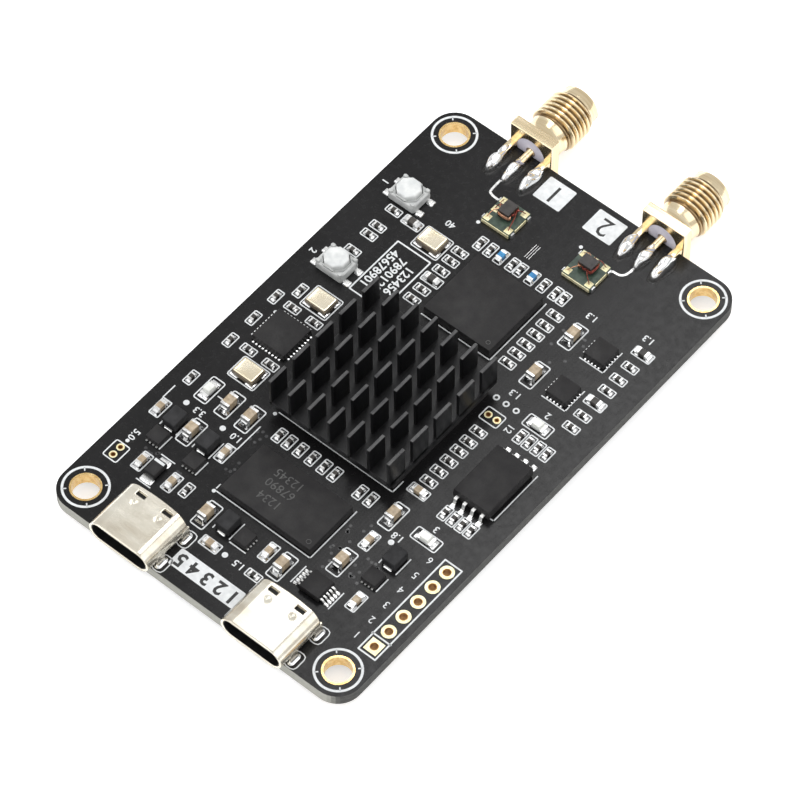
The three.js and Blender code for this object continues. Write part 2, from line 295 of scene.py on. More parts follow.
def simple(name, dark, light, gloss, size, depth, metallic=0.0, stretch=(1, 1, 1), **fixed):
    """A finish whose colour drifts between two tones over blotches of the given size, with a
    tenfold finer grain for its relief and its gloss."""
    finish = Finish(name, sum(gloss) / 2, metallic, **fixed)
    drift = finish.noise(size, 3.0, stretch)
    grain = finish.noise(size / 10, 2.0, stretch)
    finish.colour(finish.ramp(drift, dark, light))
    finish.gloss(finish.between(grain, *gloss))
    finish.relief(grain, depth, 0.6)
    return finish.material


# %% [markdown]
# The board's finish does three jobs. Faces that look up or down are black solder mask over
# glass cloth, so they get a faint weave and shallow copper islands under the lacquer. Faces
# that look sideways are bare laminate with layers of glass: pale on the two end edges, with
# painted shade making the two long ones darker. The surface normal chooses, so one material
# covers the sheet. A real board may well have one tone all round, so the darker long edges
# are painted shade.

# %% Board lacquer and laminate edge
def board_lacquer():
    finish = Finish("board_lacquer", 0.3, Specular_IOR_Level=0.24)
    drift = finish.noise(9, 3.0)
    weave = finish.sum("MULTIPLY", finish.stripes(0.48, "X"), finish.stripes(0.42, "Y"))
    copper = finish.between(finish.noise(1.6, 0.0), 0.0, 1.0)
    top = finish.ramp(drift, (0.0065, 0.0063, 0.0066), (0.0115, 0.0112, 0.0117))
    top = finish.blend(finish.sum("MULTIPLY", copper, 0.25), top, (0.013, 0.0128, 0.0133))
    layers = finish.stripes(0.2, "Z")
    flecks = finish.noise(0.25, 3.0, (3, 3, 0.6))
    glass = finish.sum("MULTIPLY", layers, flecks)
    end_edge = finish.ramp(glass, (0.30, 0.30, 0.27), (0.50, 0.49, 0.45))
    # painted shade: the long edges, which face along X, get a darker laminate tone than the end edges
    shaded_long_edge = finish.ramp(glass, (0.05, 0.05, 0.048), (0.16, 0.16, 0.15))
    edge = finish.blend(finish.between(finish.facing("X"), 0.0, 1.0), end_edge, shaded_long_edge)
    flat = finish.sum("GREATER_THAN", finish.facing("Z"), 0.5)
    finish.colour(finish.blend(flat, edge, top))
    smooth = finish.between(finish.noise(0.7, 2.0), 0.2, 0.3)
    finish.gloss(finish.add("Mix", _0=flat, _2=0.75, _3=smooth).outputs[0])
    bumps = finish.sum("ADD", finish.sum("MULTIPLY", weave, 0.4), copper)
    return finish.relief(bumps, 0.006, 0.5).material


LACQUER = board_lacquer()
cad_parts["circuit_board"].data.materials.clear()
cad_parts["circuit_board"].data.materials.append(LACQUER)
print("board finished with", LACQUER.name)

# %% [markdown]
# The other finishes differ in tone, grain and gloss rather than in how they are wired, so they
# share one recipe. Moulded epoxy is dull with a fine sandy grain, and bright solder is nearly
# a mirror with slow ripples.

# %% The other finishes
EPOXY = simple("chip_epoxy", (0.017, 0.016, 0.017), (0.027, 0.026, 0.026), (0.42, 0.62), 1.6, 0.006,
               Specular_IOR_Level=0.25)
EPOXY_MARK = simple("laser_mark", (0.055, 0.055, 0.055), (0.085, 0.085, 0.083), (0.6, 0.8), 0.8, 0.004)
FERRITE = simple("pressed_ferrite", (0.014, 0.014, 0.015), (0.03, 0.03, 0.032), (0.5, 0.7), 0.9, 0.01,
                 Specular_IOR_Level=0.3)
CORE = simple("transformer_ferrite", (0.014, 0.012, 0.012), (0.04, 0.034, 0.032), (0.3, 0.5), 0.7, 0.01)
SOLDER = simple("bright_solder", (0.78, 0.79, 0.80), (0.93, 0.93, 0.93), (0.07, 0.15), 1.6, 0.0025, 1.0)
TIN = simple("tinned_lead", (0.60, 0.60, 0.60), (0.82, 0.82, 0.80), (0.22, 0.4), 0.5, 0.01, 1.0)
GILT = simple("gold_plating", (0.80, 0.63, 0.38), (0.95, 0.82, 0.58), (0.12, 0.22), 1.5, 0.002, 1.0,
              (5, 0.25, 5))
GOLD_PAD = simple("gold_flash", (0.66, 0.42, 0.15), (0.90, 0.68, 0.34), (0.18, 0.32), 0.6, 0.003, 1.0)
# painted shade: the walls of the header and test holes are a darker, browner gold than the pads
SHADED_HOLE_GOLD = simple("shaded_hole_gold", (0.30, 0.14, 0.04), (0.52, 0.28, 0.09), (0.25, 0.4), 0.6, 0.003, 0.8)
FLUX = simple("flux_residue", (0.003, 0.003, 0.003), (0.012, 0.010, 0.009), (0.1, 0.3), 1.2, 0.05,
              Specular_IOR_Level=0.3)
VIA = simple("covered_via", (0.018, 0.018, 0.019), (0.05, 0.05, 0.052), (0.2, 0.3), 0.6, 0.002)
PALE_PAD = simple("pale_gold_pad", (0.80, 0.72, 0.40), (0.96, 0.90, 0.62), (0.3, 0.45), 0.6, 0.003, 0.5)
NICKEL = simple("nickel_shell", (0.66, 0.60, 0.49), (0.92, 0.88, 0.77), (0.16, 0.24), 3.0, 0.0008, 0.85,
                (2, 0.8, 1))
WAX = simple("white_fluoropolymer", (0.62, 0.60, 0.72), (0.80, 0.78, 0.88), (0.35, 0.5), 1.4, 0.01)
WHITE = simple("white_nylon", (0.40, 0.41, 0.41), (0.62, 0.63, 0.62), (0.3, 0.45), 1.2, 0.006)
WHITE_CAP = simple("white_button_nylon", (0.60, 0.62, 0.62), (0.80, 0.81, 0.80), (0.28, 0.4), 1.0, 0.004)
# black nylon for the USB-C inserts, and also painted shade as the dark lining inside the USB-C shells
BLACK = simple("black_nylon_and_painted_shade", (0.003, 0.003, 0.003), (0.009, 0.009, 0.010), (0.4, 0.55), 0.8, 0.004,
               Specular_IOR_Level=0.25)
CAN_LID = simple("crystal_lid", (0.84, 0.73, 0.52), (0.97, 0.90, 0.74), (0.2, 0.26), 3.0, 0.0006, 0.85)
CAN_BODY = simple("crystal_ceramic", (0.10, 0.08, 0.06), (0.20, 0.16, 0.11), (0.4, 0.55), 0.6, 0.01)
TAN = simple("capacitor_ceramic", (0.30, 0.225, 0.145), (0.52, 0.42, 0.29), (0.25, 0.4), 0.5, 0.004)
GREY = simple("small_chip_ceramic", (0.012, 0.011, 0.010), (0.05, 0.043, 0.036), (0.35, 0.55), 2.5, 0.004)
BLUE = simple("blue_coil_ceramic", (0.01, 0.13, 0.34), (0.04, 0.28, 0.55), (0.2, 0.35), 0.4, 0.004)
PRINT = simple("white_print", (0.65, 0.67, 0.68), (0.80, 0.82, 0.83), (0.5, 0.7), 0.7, 0.001)
DARK_PRINT = simple("knocked_out_print", (0.010, 0.010, 0.010), (0.022, 0.022, 0.022), (0.4, 0.5), 0.5, 0.003)
LAMP = simple("clear_lamp", (0.72, 0.74, 0.70), (0.90, 0.91, 0.86), (0.12, 0.25), 0.6, 0.006)
GREEN = simple("green_laminate", (0.018, 0.034, 0.024), (0.05, 0.085, 0.06), (0.35, 0.5), 0.6, 0.004)
RED_WIRE = simple("red_enamel_wire", (0.12, 0.018, 0.012), (0.36, 0.07, 0.045), (0.18, 0.3), 0.4, 0.002, 0.5)
COPPER_WIRE = simple("copper_wire", (0.60, 0.28, 0.16), (0.84, 0.50, 0.34), (0.2, 0.32), 0.4, 0.002, 1.0)
RUBBER = simple("thermal_rubber", (0.26, 0.28, 0.31), (0.36, 0.38, 0.42), (0.75, 0.9), 0.8, 0.02)
SPRING = simple("spring_steel", (0.55, 0.55, 0.56), (0.72, 0.72, 0.73), (0.18, 0.3), 0.5, 0.004, 1.0)
print(len(bpy.data.materials), "finishes")

# %% [markdown]
# ## Print, pads and plated holes
#
# White ink, gold and copper lie on the board only a few hundredths of a millimetre thick, but
# they catch the light at their edges, so they are real plates and rings here and not paint.
# Lines are thin bars, frames are washers between two rounded outlines, and numerals are font
# outlines given the same thickness.

# %% Ink tools
INK = 0.02
STROKE = 0.16


def line(x0, y0, x1, y1, stroke=STROKE):
    """An ink bar from one point to another."""
    length = math.hypot(x1 - x0, y1 - y0)
    turn = math.degrees(math.atan2(y1 - y0, x1 - x0))
    return put(bar(length + stroke, stroke, 0, INK, 0.005), (x0 + x1) / 2, (y0 + y1) / 2, TOP, turn)


def outline_box(x, y, width, depth, corner=0.3, stroke=STROKE):
    """An ink frame round a part."""
    outer = rounded(width, depth, corner, 2)
    inner = rounded(width - 2 * stroke, depth - 2 * stroke, max(corner - stroke, 0.02), 2)
    return put(washer(outer, inner, 0, INK), x, y, TOP)


def dot(x, y, diameter, thick=INK):
    return put(loft([level(circle(diameter / 2, 16), z) for z in (0, thick)]), x, y, TOP)


def ring(x, y, outside, inside, thick=INK, sides=32):
    return put(washer(circle(outside / 2, sides), circle(inside / 2, sides), 0, thick), x, y, TOP)


def numerals(text, height, x, y, z=TOP, turn=0.0, thick=INK, weight=0.0):
    """Font outlines as a thin closed plate, centred on a point. A digit is 0.7 of the font size."""
    curve = bpy.data.curves.new("numerals", "FONT")
    curve.body = text
    curve.align_x = curve.align_y = "CENTER"
    curve.size = height / 0.7
    curve.extrude = thick / 2
    curve.offset = weight
    curve.resolution_u = 2
    holder = bpy.data.objects.new("numerals", curve)
    bpy.context.scene.collection.objects.link(holder)
    bpy.context.view_layer.update()
    mesh = bpy.data.meshes.new_from_object(holder.evaluated_get(bpy.context.evaluated_depsgraph_get()))
    bpy.data.objects.remove(holder)
    mesh.calc_loop_triangles()
    points = np.zeros(len(mesh.vertices) * 3)
    mesh.vertices.foreach_get("co", points)
    corners = np.zeros(len(mesh.loop_triangles) * 3, int)
    mesh.loop_triangles.foreach_get("vertices", corners)
    places, first = np.unique(points.reshape(-1, 3).round(5), axis=0, return_inverse=True)
    faces = first.ravel()[corners].reshape(-1, 3)
    faces = faces[(faces != np.roll(faces, 1, axis=1)).all(axis=1)]
    bpy.data.meshes.remove(mesh)
    return put((places, [faces]), x, y, z + thick / 2, turn)


# %% Rings and plated walls round every hole
HOLE_X, HOLE_Y = 19.0, 33.0
HOLE, HOLE_RIM = 3.4, 3.85
HEADER_X, HEADER_Y, PITCH, PINS = 20.1, -28.1, 2.54, 6


def plated_hole(x, y, hole, rim, sides=32, square=False):
    """A gold eyelet: a rim above, a thin wall through the hole, and a rim below."""
    wall, lift = 0.035, 0.03
    inner, outer = circle(hole / 2 - wall, sides), circle(hole / 2 + 0.01, sides)
    edge = outer * rim / (hole + 0.02)
    if square:
        edge = edge / np.abs(edge).max(axis=1, keepdims=True) * rim / 2
    rings = [level(edge, TOP), level(edge, TOP + lift), level(inner, TOP + lift), level(inner, -lift),
             level(edge, -lift), level(edge, 0), level(outer, 0), level(outer, TOP)]
    return put(loft(rings, wrap=True), x, y)


corners = [(x, y) for x in (-HOLE_X, HOLE_X) for y in (-HOLE_Y, HOLE_Y)]
piece("mounting_hole_plating", heap([plated_hole(x, y, HOLE, HOLE_RIM, 48) for x, y in corners]),
      GOLD_PAD)
header_holes = [(HEADER_X, HEADER_Y + pin * PITCH) for pin in range(PINS)]
eyelets = [plated_hole(x, y, 1.0, 1.75, 32, square=(y == HEADER_Y)) for x, y in header_holes]
test_holes = [(-19.6, -26.4), (-19.6, -27.67), (10.0, 4.2), (11.27, 4.2)]
eyelets += [plated_hole(x, y, 0.55, 0.98, 20) for x, y in test_holes]
piece("header_hole_plating", heap(eyelets), SHADED_HOLE_GOLD)
pale_pads = []
for x, y in header_holes:
    rim = circle(0.9, 32)
    if y == HEADER_Y:
        rim = rim / np.abs(rim).max(axis=1, keepdims=True) * 0.9
    pale_pads.append(put(washer(rim, circle(0.53, 32), 0.0, 0.04), x, y, TOP))
    pale_pads.append(put(washer(circle(0.9, 32), circle(0.53, 32), -0.04, 0.0), x, y))
for x, y in test_holes:
    pale_pads.append(put(washer(circle(0.5, 20), circle(0.32, 20), 0.0, 0.04), x, y, TOP))
print(len(corners) + len(eyelets), "plated holes")

# %% White print on the board
ink = [ring(x, y, 5.75, 5.15, sides=48) for x, y in corners]
for x, y in corners:
    for turn in (45, 135, 225, 315):
        c, s = math.cos(math.radians(turn)), math.sin(math.radians(turn))
        ink.append(line(x + 2.3 * c, y + 2.3 * s, x + 2.6 * c, y + 2.6 * s))
header_left, header_right = HEADER_X - 1.35, HEADER_X + 1.3
ink.append(outline_box(HEADER_X - 0.02, -21.8, 2.65, 15.4, 0.1, 0.2))
ink.append(line(header_left, -26.8, header_right, -26.8, 0.2))
ink += [numerals(str(pin + 1), 0.95, 17.6, y, turn=180) for pin, (_, y) in enumerate(header_holes)]

label_boxes = [(-4.12, 33.8, 4.0, 3.6), (3.55, 33.8, 4.2, 3.6), (-0.2, -33.35, 9.6, 2.55)]
for x, y, width, depth in label_boxes:
    ink.append(put(moulded(width, depth, 0.12, [(0, 0), (0, INK)], 1), x, y, TOP))
knocked_out = [numerals("1", 2.6, -4.12, 33.8, TOP + INK, 180, 0.01),
               numerals("2", 2.6, 3.55, 33.8, TOP + INK, 180, 0.01),
               numerals("1 2 3 4 5", 1.75, -0.2, -33.35, TOP + INK, 180, 0.01, 0.07)]

ratings = [("40", -10.8, 22.4), ("1.3", 10.6, 22.6), ("1.3", 17.7, 24.3), ("1.3", 10.6, 8.4),
           ("2", 15.4, 8.45), ("3", 15.5, -11.75), ("1.8", 12.8, -15.35), ("3.3", -15.9, -16.9),
           ("1.0", -10.2, -16.9), ("1.5", 1.4, -29.7)]
ink += [numerals(text, 0.9, x, y, turn=180, weight=0.02) for text, x, y in ratings]
upright = [("1", -20.9, 22.3, -90), ("2", -20.9, 9.0, -90), ("5.0", -19.6, -24.1, -90),
           ("1", -15.3, -13.9, -90), ("12", 13.1, 4.2, -90)]
ink += [numerals(text, 0.9, x, y, turn=turn, weight=0.02) for text, x, y, turn in upright]
ink.append(outline_box(-11.5, 12.05, 5.2, 9.1, 0.15, 0.2))
for text, x in (("123456", -10.25), ("7890123", -11.75), ("45678901", -13.2)):
    ink.append(numerals(text, 1.12, x, 12.05, turn=-90, weight=0.03))
ink += [dot(x, y, 0.75) for x, y in ((-17.9, -16.9), (-12.3, -16.9), (12.65, -16.35), (-0.7, -29.7))]
ink += [dot(x, y, 0.5) for x, y in ((-8.5, 24.75), (3.2, 29.7), (-18.4, -0.6), (-9.0, -11.5),
                                    (-7.4, -24.0), (-19.6, -25.2))]

part_corners = [
    (-8.7, -11.05, 8.4, -11.05), (8.4, -11.05, 8.4, -9.2), (5.25, 10.2, 5.25, 20.6), (-5.1, 10.2, 5.25, 10.2),
    (6.98, -23.85, 6.98, -15.75), (-7.1, -23.85, 6.98, -23.85), (-7.4, -23.5, -7.4, -22.9),
    (19.75, -6.7, 19.75, 1.2), (19.0, -6.7, 19.75, -6.7), (-9.1, -18.0, -9.1, -14.0),
    (-20.5, -18, -20.5, -16),
    (7.35, -27.6, 7.35, -25.0), (12.95, -27.6, 12.95, -25.0), (-16.0, -23.7, -16.0, -21.6),
    (-10.45, -23.7, -10.45, -21.6), (-1.4, -28.05, 0.9, -28.05), (15.6, -22.4, 15.6, -20.4),
    (-15.3, -24.1, -13.3, -24.1), (-15.3, -28.4, -13.3, -28.4), (16.5, 17.4, 16.5, 20.8),
    (13.1, 17.2, 16.4, 17.2), (16.5, 10.4, 16.5, 13.8), (13.1, 10.2, 16.4, 10.2)]
ink += [line(*ends) for ends in part_corners]
part_frames = [
    (-10.7, 18.85, 4.1, 3.6), (-15.1, 3.85, 4.1, 3.6), (-15.05, -9.2, 4.1, 3.4), (-17.0, -13.9, 2.0, 3.8),
    (15.45, 6.6, 3.7, 2.0), (15.5, -13.5, 3.8, 1.9), (-19.6, -27.1, 2.2, 2.7), (10.6, 4.2, 2.8, 2.1)]
ink += [outline_box(*box) for box in part_frames]
STAKE_ROWS = (-30.9, -35.1)
for socket_x in (-9.9, 9.95):
    for side in (-1, 1):
        ink += [outline_box(socket_x + side * 4.5, y, 1.75, 2.5, 0.6, 0.14) for y in STAKE_ROWS]
print(len(ink), "inked marks")

# %% [markdown]
# ## Small chip parts
#
# Seventy-five small resistors, capacitors and coils stand in rows. Each is a ceramic block with two
# plated ends and a skirt of solder at each end. All the blocks of one finish are heaped into
# one piece, since nobody would ever move one alone, and each block has only a few dozen faces.

# %% Rows of small parts
SMALL = dict(length=1.0, width=0.52, height=0.42, frame=(2.15, 1.2))
LARGER = dict(length=1.6, width=0.82, height=0.6, frame=(2.75, 1.5))
COIL = dict(length=1.3, width=0.8, height=0.6, frame=(2.25, 1.25))
LYING, STANDING = 0, 90


def row(xs, ys, turn, kind=SMALL):
    """Every pairing of the given x and y values, as (x, y, turn, kind)."""
    return [(x, y, turn, kind) for x in xs for y in ys]


grey_parts = (
    row([-6.25, -4.7, -1.35, -0.15, 3.4, 5.2, 6.4], [22.5], STANDING)
    + row([-7.3], [19.9, 18.2, 16.4, 12.9, 11.1], LYING) + row([-7.25], [14.7], LYING, LARGER)
    + row([7.1], [20.0, 18.1, 16.4, 14.6, 12.9, 11.2], LYING)
    + row([-17.25], [19.6, 16.6, 15.0, 12.0], LYING) + row([-14.4], [19.6], LYING, LARGER)
    + row([-18.15], [3.6], STANDING) + row([-19.8], [1.1, -2.9, -7.0, -13.9], STANDING)
    + row([-17.25, -13.9], [1.1, -6.7], LYING)
    + row([18.5], [19.8, 17.6, 15.5, 11.0, 8.9], LYING) + row([18.5], [22.2, 13.3], LYING, LARGER)
    + row([14.8, 16.1, 17.4, 18.7], [4.2], STANDING)
    + row([10.65], [1.6, -0.2, -1.9, -3.7, -5.5, -7.3], LYING)
    + row([-6.6, -5.1, -3.4, -1.6, 0.2, 1.8, 5.6, 7.2], [-13.45], STANDING)
    + row([14.85, 16.15, 17.4, 18.65], [-9.4], STANDING)
    + row([-9.8], [-25.95], STANDING) + row([3.6], [-29.7], LYING))
tan_parts = (
    row([10.65], [-9.1], LYING, LARGER)
    + row([-19.75, -9.8], [-19.35], STANDING, LARGER) + row([-16.4, -11.8, 2.9], [-26.25], STANDING, LARGER)
    + row([10.65], [-17.8], STANDING, LARGER) + row([14.75], [-24.9], STANDING, LARGER)
    + row([-2.9], [-29.7], LYING, LARGER))
blue_parts = row([-3.1, 1.65], [22.5], STANDING, COIL)


def chip_part(x, y, turn, kind):
    """The body, the two plated ends and the two solder skirts of one part."""
    length, width, height = kind["length"], kind["width"], kind["height"]
    cap, lift = length * 0.24, 0.03
    body = put(bar(length - 0.04, width, lift, lift + height), x, y, TOP, turn)
    ends, skirts = [], []
    for side in (-1, 1):
        end = bar(cap, width + 0.04, lift - 0.02, lift + height + 0.02)
        slope = [(0, 0), (0.03, 0.05), (0.13, 0.13), (0.19, height * 0.55)]
        skirt = moulded(cap * 2.3, width * 1.35, 0.1, slope, 1)
        ends.append(put(put(end, side * (length - cap) / 2), x, y, TOP, turn))
        skirts.append(put(put(skirt, side * (length / 2 + 0.02)), x, y, TOP, turn))
    return body, ends, skirts


solder, leads = [], []
for name, parts, finish in (("small_chip_bodies", grey_parts, GREY),
                            ("small_capacitor_bodies", tan_parts, TAN),
                            ("blue_coil_bodies", blue_parts, BLUE)):
    bodies = []
    for x, y, turn, kind in parts:
        body, ends, skirts = chip_part(x, y, turn, kind)
        bodies.append(body)
        leads += ends
        solder += skirts
        frame_size = kind["frame"] if turn == LYING else kind["frame"][::-1]
        ink.append(outline_box(x, y, *frame_size, 0.2, 0.16))
    piece(name, heap(bodies), finish)
print(len(grey_parts + tan_parts + blue_parts), "small parts")

# %% The nine large capacitors
CAP_BAND = 0.42
for number in range(1, 10):
    low, high = span(f"capacitor_{number}")
    width, depth, height = high - low
    x, y, _ = (low + high) / 2
    profile = [(0.02, 0), (0, 0.1), (0, height - 0.12), (0.04, height - 0.03), (0.12, height)]
    body = moulded(width - 0.04, depth - 0.1, 0.1, profile, 2)
    piece(f"capacitor_body_{number}", put(body, x, y, low[2]), TAN,
          instead_of=[f"capacitor_{number}"])
    for side in (-1, 1):
        band = moulded(width + 0.02, CAP_BAND, 0.13, [(0.03, 0), (0, 0.1), (0, height - 0.1), (0.04, height),
                                                      (0.12, height + 0.015)], 2)
        leads.append(put(band, x, y + side * (depth - CAP_BAND) / 2, low[2]))
        skirt = moulded(width * 1.15, 0.75, 0.2, [(0, 0), (0.04, 0.06), (0.14, 0.16), (0.3, height * 0.5)], 2)
        solder.append(put(skirt, x, y + side * (depth / 2 + 0.05), TOP))
    ink.append(outline_box(x, y, 1.98, 3.95, 0.3, 0.17))
print("nine capacitors")

# %% [markdown]
# ## Chips
#
# A moulded chip isn't a plain box. The mould opens along a line at mid height, so its sides
# lean in from there, and the leads leave along that line. A chip cut from a larger sheet has
# upright sides and a step where the epoxy meets its substrate. Two profiles give both kinds.

# %% Chips without legs
def sheet_cut(height):
    """Upright sides: substrate, a small step, epoxy, and a sharp eased top."""
    return [(0, 0), (0, height * 0.24), (0.05, height * 0.28), (0.05, height - 0.04), (0.09, height)]


def mould_split(height, lean=0.1):
    """Sides that lean in from a line at mid height."""
    half = height * 0.45
    return [(lean, 0.1), (0.01, half), (0.01, half + 0.04), (lean, height - 0.05), (lean + 0.05, height)]


def chip(node, profile_of, corner=0.06, name=None):
    """A chip body that fills its CAD node's box."""
    low, high = span(node)
    width, depth, height = high - low
    shell = moulded(width, depth, corner, profile_of(height), 2)
    x, y, _ = (low + high) / 2
    return piece(name or node + "_body", put(shell, x, y, low[2]), EPOXY, instead_of=[node])


for node in ("soc_chip", "transceiver_chip", "memory_chip"):
    chip(node, sheet_cut)
leadless = ("usb_link_chip", "transmit_regulator", "receive_regulator", "converter_1", "converter_2",
            "converter_3", "converter_4")
for node in leadless:
    chip(node, sheet_cut, 0.03)


def edge_pads(node, count, pitch, sides, width=0.26, reach=0.22):
    """Tinned pads that stick out from under a leadless chip: count on each of the named sides,
    the first side at +X and the next ones a quarter turn further."""
    low, high = span(node)
    x, y, _ = middle(node)
    half = (high - low)[:2] / 2
    for side in sides:
        across, out = (half[1], half[0]) if side % 2 == 0 else (half[0], half[1])
        steps = (np.arange(count) - (count - 1) / 2) * pitch
        for step in steps[np.abs(steps) < across]:
            pad = put(bar(0.5, width, 0, 0.16), out - 0.25 + reach, step)
            yield put(pad, x, y, TOP, 90 * side)


solder += edge_pads("usb_link_chip", 9, 0.5, (0, 1, 2, 3), 0.27, 0.42)
for node in ("transmit_regulator", "receive_regulator"):
    solder += edge_pads(node, 5, 0.5, (0, 1, 2, 3), 0.24, 0.34)
for node in ("converter_1", "converter_2", "converter_3", "converter_4"):
    leads += edge_pads(node, 4, 0.5, (0,) if node == "converter_3" else (3,), 0.22, 0.18)
print("leadless chips done")

# %% Chips with gull-wing legs
def ribbon(path, width, thick):
    """A flat strap carried along a path of (y, z) points: each ring is the strap's own
    rectangle, turned to stand square to the path."""
    path = np.asarray(path, float)
    along = np.gradient(path, axis=0)
    along /= np.linalg.norm(along, axis=1, keepdims=True)
    up = np.column_stack([-along[:, 1], along[:, 0]])
    sides = ((width / 2, thick / 2), (width / 2, -thick / 2),
             (-width / 2, -thick / 2), (-width / 2, thick / 2))
    corner = [np.column_stack([np.full(len(path), x), path + up * lift]) for x, lift in sides]
    return loft(np.stack(corner, 1))


def gull_wing(start, shoulder, reach):
    """A leg's path from the body out over the shoulder, down, and along its foot."""
    knee, toe = start + reach * 0.33, start + reach
    return [(start - 0.25, shoulder), (knee - 0.08, shoulder), (knee, shoulder - 0.05),
            (knee + 0.04, shoulder - 0.15), (knee + 0.16, 0.2), (knee + 0.22, 0.1),
            (knee + 0.32, 0.075), (toe, 0.075)]


def legged_chip(node, count, pitch, leg_width, reach, turn):
    """A moulded chip with count legs on each of two opposite sides."""
    low, high = span(node)
    width, depth, height = high - low
    if turn:
        width, depth = depth, width
    x, y, _ = (low + high) / 2
    body = put(moulded(width, depth - 2 * reach, 0.08, mould_split(height), 2), x, y, low[2], turn)
    piece(node + "_body", body, EPOXY, instead_of=[node])
    path = gull_wing(depth / 2 - reach, height * 0.47, reach)
    for step in (np.arange(count) - (count - 1) / 2) * pitch:
        for end in (0, 180):
            leg = put(put(ribbon(path, leg_width, 0.14), step), x, y, low[2] - 0.02, turn + end)
            leads.append(leg)
            foot = moulded(leg_width * 1.7, reach * 0.7, 0.1, [(0, 0), (0.03, 0.04), (0.12, 0.1)], 1)
            solder.append(put(put(foot, step, depth / 2 - reach * 0.25), x, y, TOP, turn + end))


legged_chip("flash_chip", 4, 1.27, 0.42, 1.2, 0)
legged_chip("usb_power_switch", 5, 0.5, 0.24, 1.0, 90)

# %% Numbers and dots on the chips
mark_depth = 0.006
memory_x, memory_y, _ = middle("memory_chip")
memory_top = span("memory_chip")[1][2]
radio_x, radio_y, _ = middle("transceiver_chip")
radio_top = span("transceiver_chip")[1][2]
marks = [numerals(text, 1.15, memory_x - 1.2, memory_y + dy, memory_top, 180, mark_depth)
         for text, dy in (("12345", 1.9), ("67890", 0.3), ("1234", -1.6))]
memory_dot = washer(circle(0.32, 20), circle(0.25, 20), 0, mark_depth)
marks.append(put(memory_dot, memory_x + 5.9, memory_y - 3.0, memory_top))
radio_dot = washer(circle(0.3, 20), circle(0.22, 20), 0, mark_depth)
marks.append(put(radio_dot, radio_x + 4.1, radio_y - 4.1, radio_top))
piece("chip_numbers", heap(marks), EPOXY_MARK)
print("chips done")

# %% [markdown]
# ## Heat sink
#
# The sink is an extrusion that was sawn across, so each fin is a thin blade. Its faces keep the
# black anodising, and the saw-cut blade tops are painted a little greyer as a painted highlight.
# The finish reads only height to find those tops. Every blade is a shell of its own, set
# a little way into the base, with a fine chamfer that draws a bright line round its tip.

# %% Heat sink and thermal pad
COLUMNS, ROWS = 7, 5
FIN_THICK, FIN_LENGTH, SINK_BASE = 0.42, 2.8, 0.95
sink_low, sink_high = span("heat_sink")


def sink_anodising():
    finish = Finish("sink_anodising", 0.4, 0.0, Specular_IOR_Level=0.3)
    streak = finish.noise(1.6, 3.0, (0.5, 0.5, 5))
    black = finish.ramp(streak, (0.0035, 0.0035, 0.004), (0.008, 0.008, 0.009))
    # painted highlight: the top 0.07 mm of every blade is painted greyer than the black anodising
    tip_highlight = finish.ramp(finish.noise(0.5, 3.0, (1, 4, 1)), (0.035, 0.035, 0.037), (0.10, 0.10, 0.10))
    height = finish.add("SeparateXYZ", Vector=finish.where).outputs["Z"]
    tip = finish.sum("GREATER_THAN", height, (sink_high[2] - 0.07) * MM)
    finish.colour(finish.blend(tip, black, tip_highlight))
    finish.gloss(finish.between(streak, 0.3, 0.44))
    return finish.relief(finish.noise(0.16, 2.0, (0.5, 0.5, 5)), 0.006, 0.5).material


def fin_places(low, high, size, count):
    """Centres of count blades spread so the first and last are flush with the base."""
    return np.linspace(low + size / 2, high - size / 2, count)


fin_height = sink_high[2] - sink_low[2]
fin_profile = [(0, SINK_BASE * 0.6), (0, fin_height - 0.05), (0.05, fin_height)]
fin = moulded(FIN_THICK, FIN_LENGTH, 0.04, fin_profile, 2)
base_size = (sink_high - sink_low)[:2]
base = moulded(*base_size, 0.15, [(0.04, 0), (0, 0.04), (0, SINK_BASE - 0.04), (0.04, SINK_BASE)], 3)
sink_parts = [put(base, *((sink_low + sink_high) / 2)[:2], sink_low[2])]
sink_parts += [put(fin, x, y, sink_low[2])
               for x in fin_places(sink_low[0], sink_high[0], FIN_THICK, COLUMNS)
               for y in fin_places(sink_low[1], sink_high[1], FIN_LENGTH, ROWS)]
piece("heat_sink_blades", heap(sink_parts), sink_anodising(), instead_of=["heat_sink"])
pad_low, pad_high = span("thermal_pad")
pad_height = pad_high[2] - pad_low[2]
pad = moulded(*(pad_high - pad_low)[:2], 0.4, [(0.1, 0), (0, pad_height / 2), (0.1, pad_height)], 3)
piece("thermal_pad_sheet", put(pad, *middle("thermal_pad")[:2], pad_low[2]), RUBBER,
      instead_of=["thermal_pad"])
print(COLUMNS * ROWS, "fins")

# %% [markdown]
# ## Inductors, crystals, lamps and the diode
#
# These are small blocks whose top edge tells what they are. A power inductor is pressed powder
# with soft edges. A crystal is a ceramic tray with a seam-welded lid. A lamp is a clear block
# on a white tray with plated ends.

# %% Inductors and the input diode
for number in range(1, 5):
    node = f"inductor_{number}"
    low, high = span(node)
    width, depth, height = high - low
    x, y, _ = middle(node)
    profile = [(0.03, 0.05), (0, 0.15), (0, height - 0.2), (0.05, height - 0.06), (0.14, height)]
    piece(node + "_body", put(moulded(width, depth - 0.06, 0.18, profile), x, y, low[2]), FERRITE,
          instead_of=[node])
    for side in (-1, 1):
        clip = bar(width * 0.6, 0.5, -0.03, 0.25)
        leads.append(put(clip, x, y + side * (depth / 2 - 0.23), low[2]))
        skirt = moulded(width * 0.6, 0.3, 0.1, [(0, 0), (0.03, 0.03), (0.1, 0.08)], 1)
        solder.append(put(skirt, x, y + side * (depth / 2 + 0.02), TOP))
    ink += [line(x + side * (width / 2 + 0.28), y - depth / 2, x + side * (width / 2 + 0.28), y + depth / 2)
            for side in (-1, 1)]

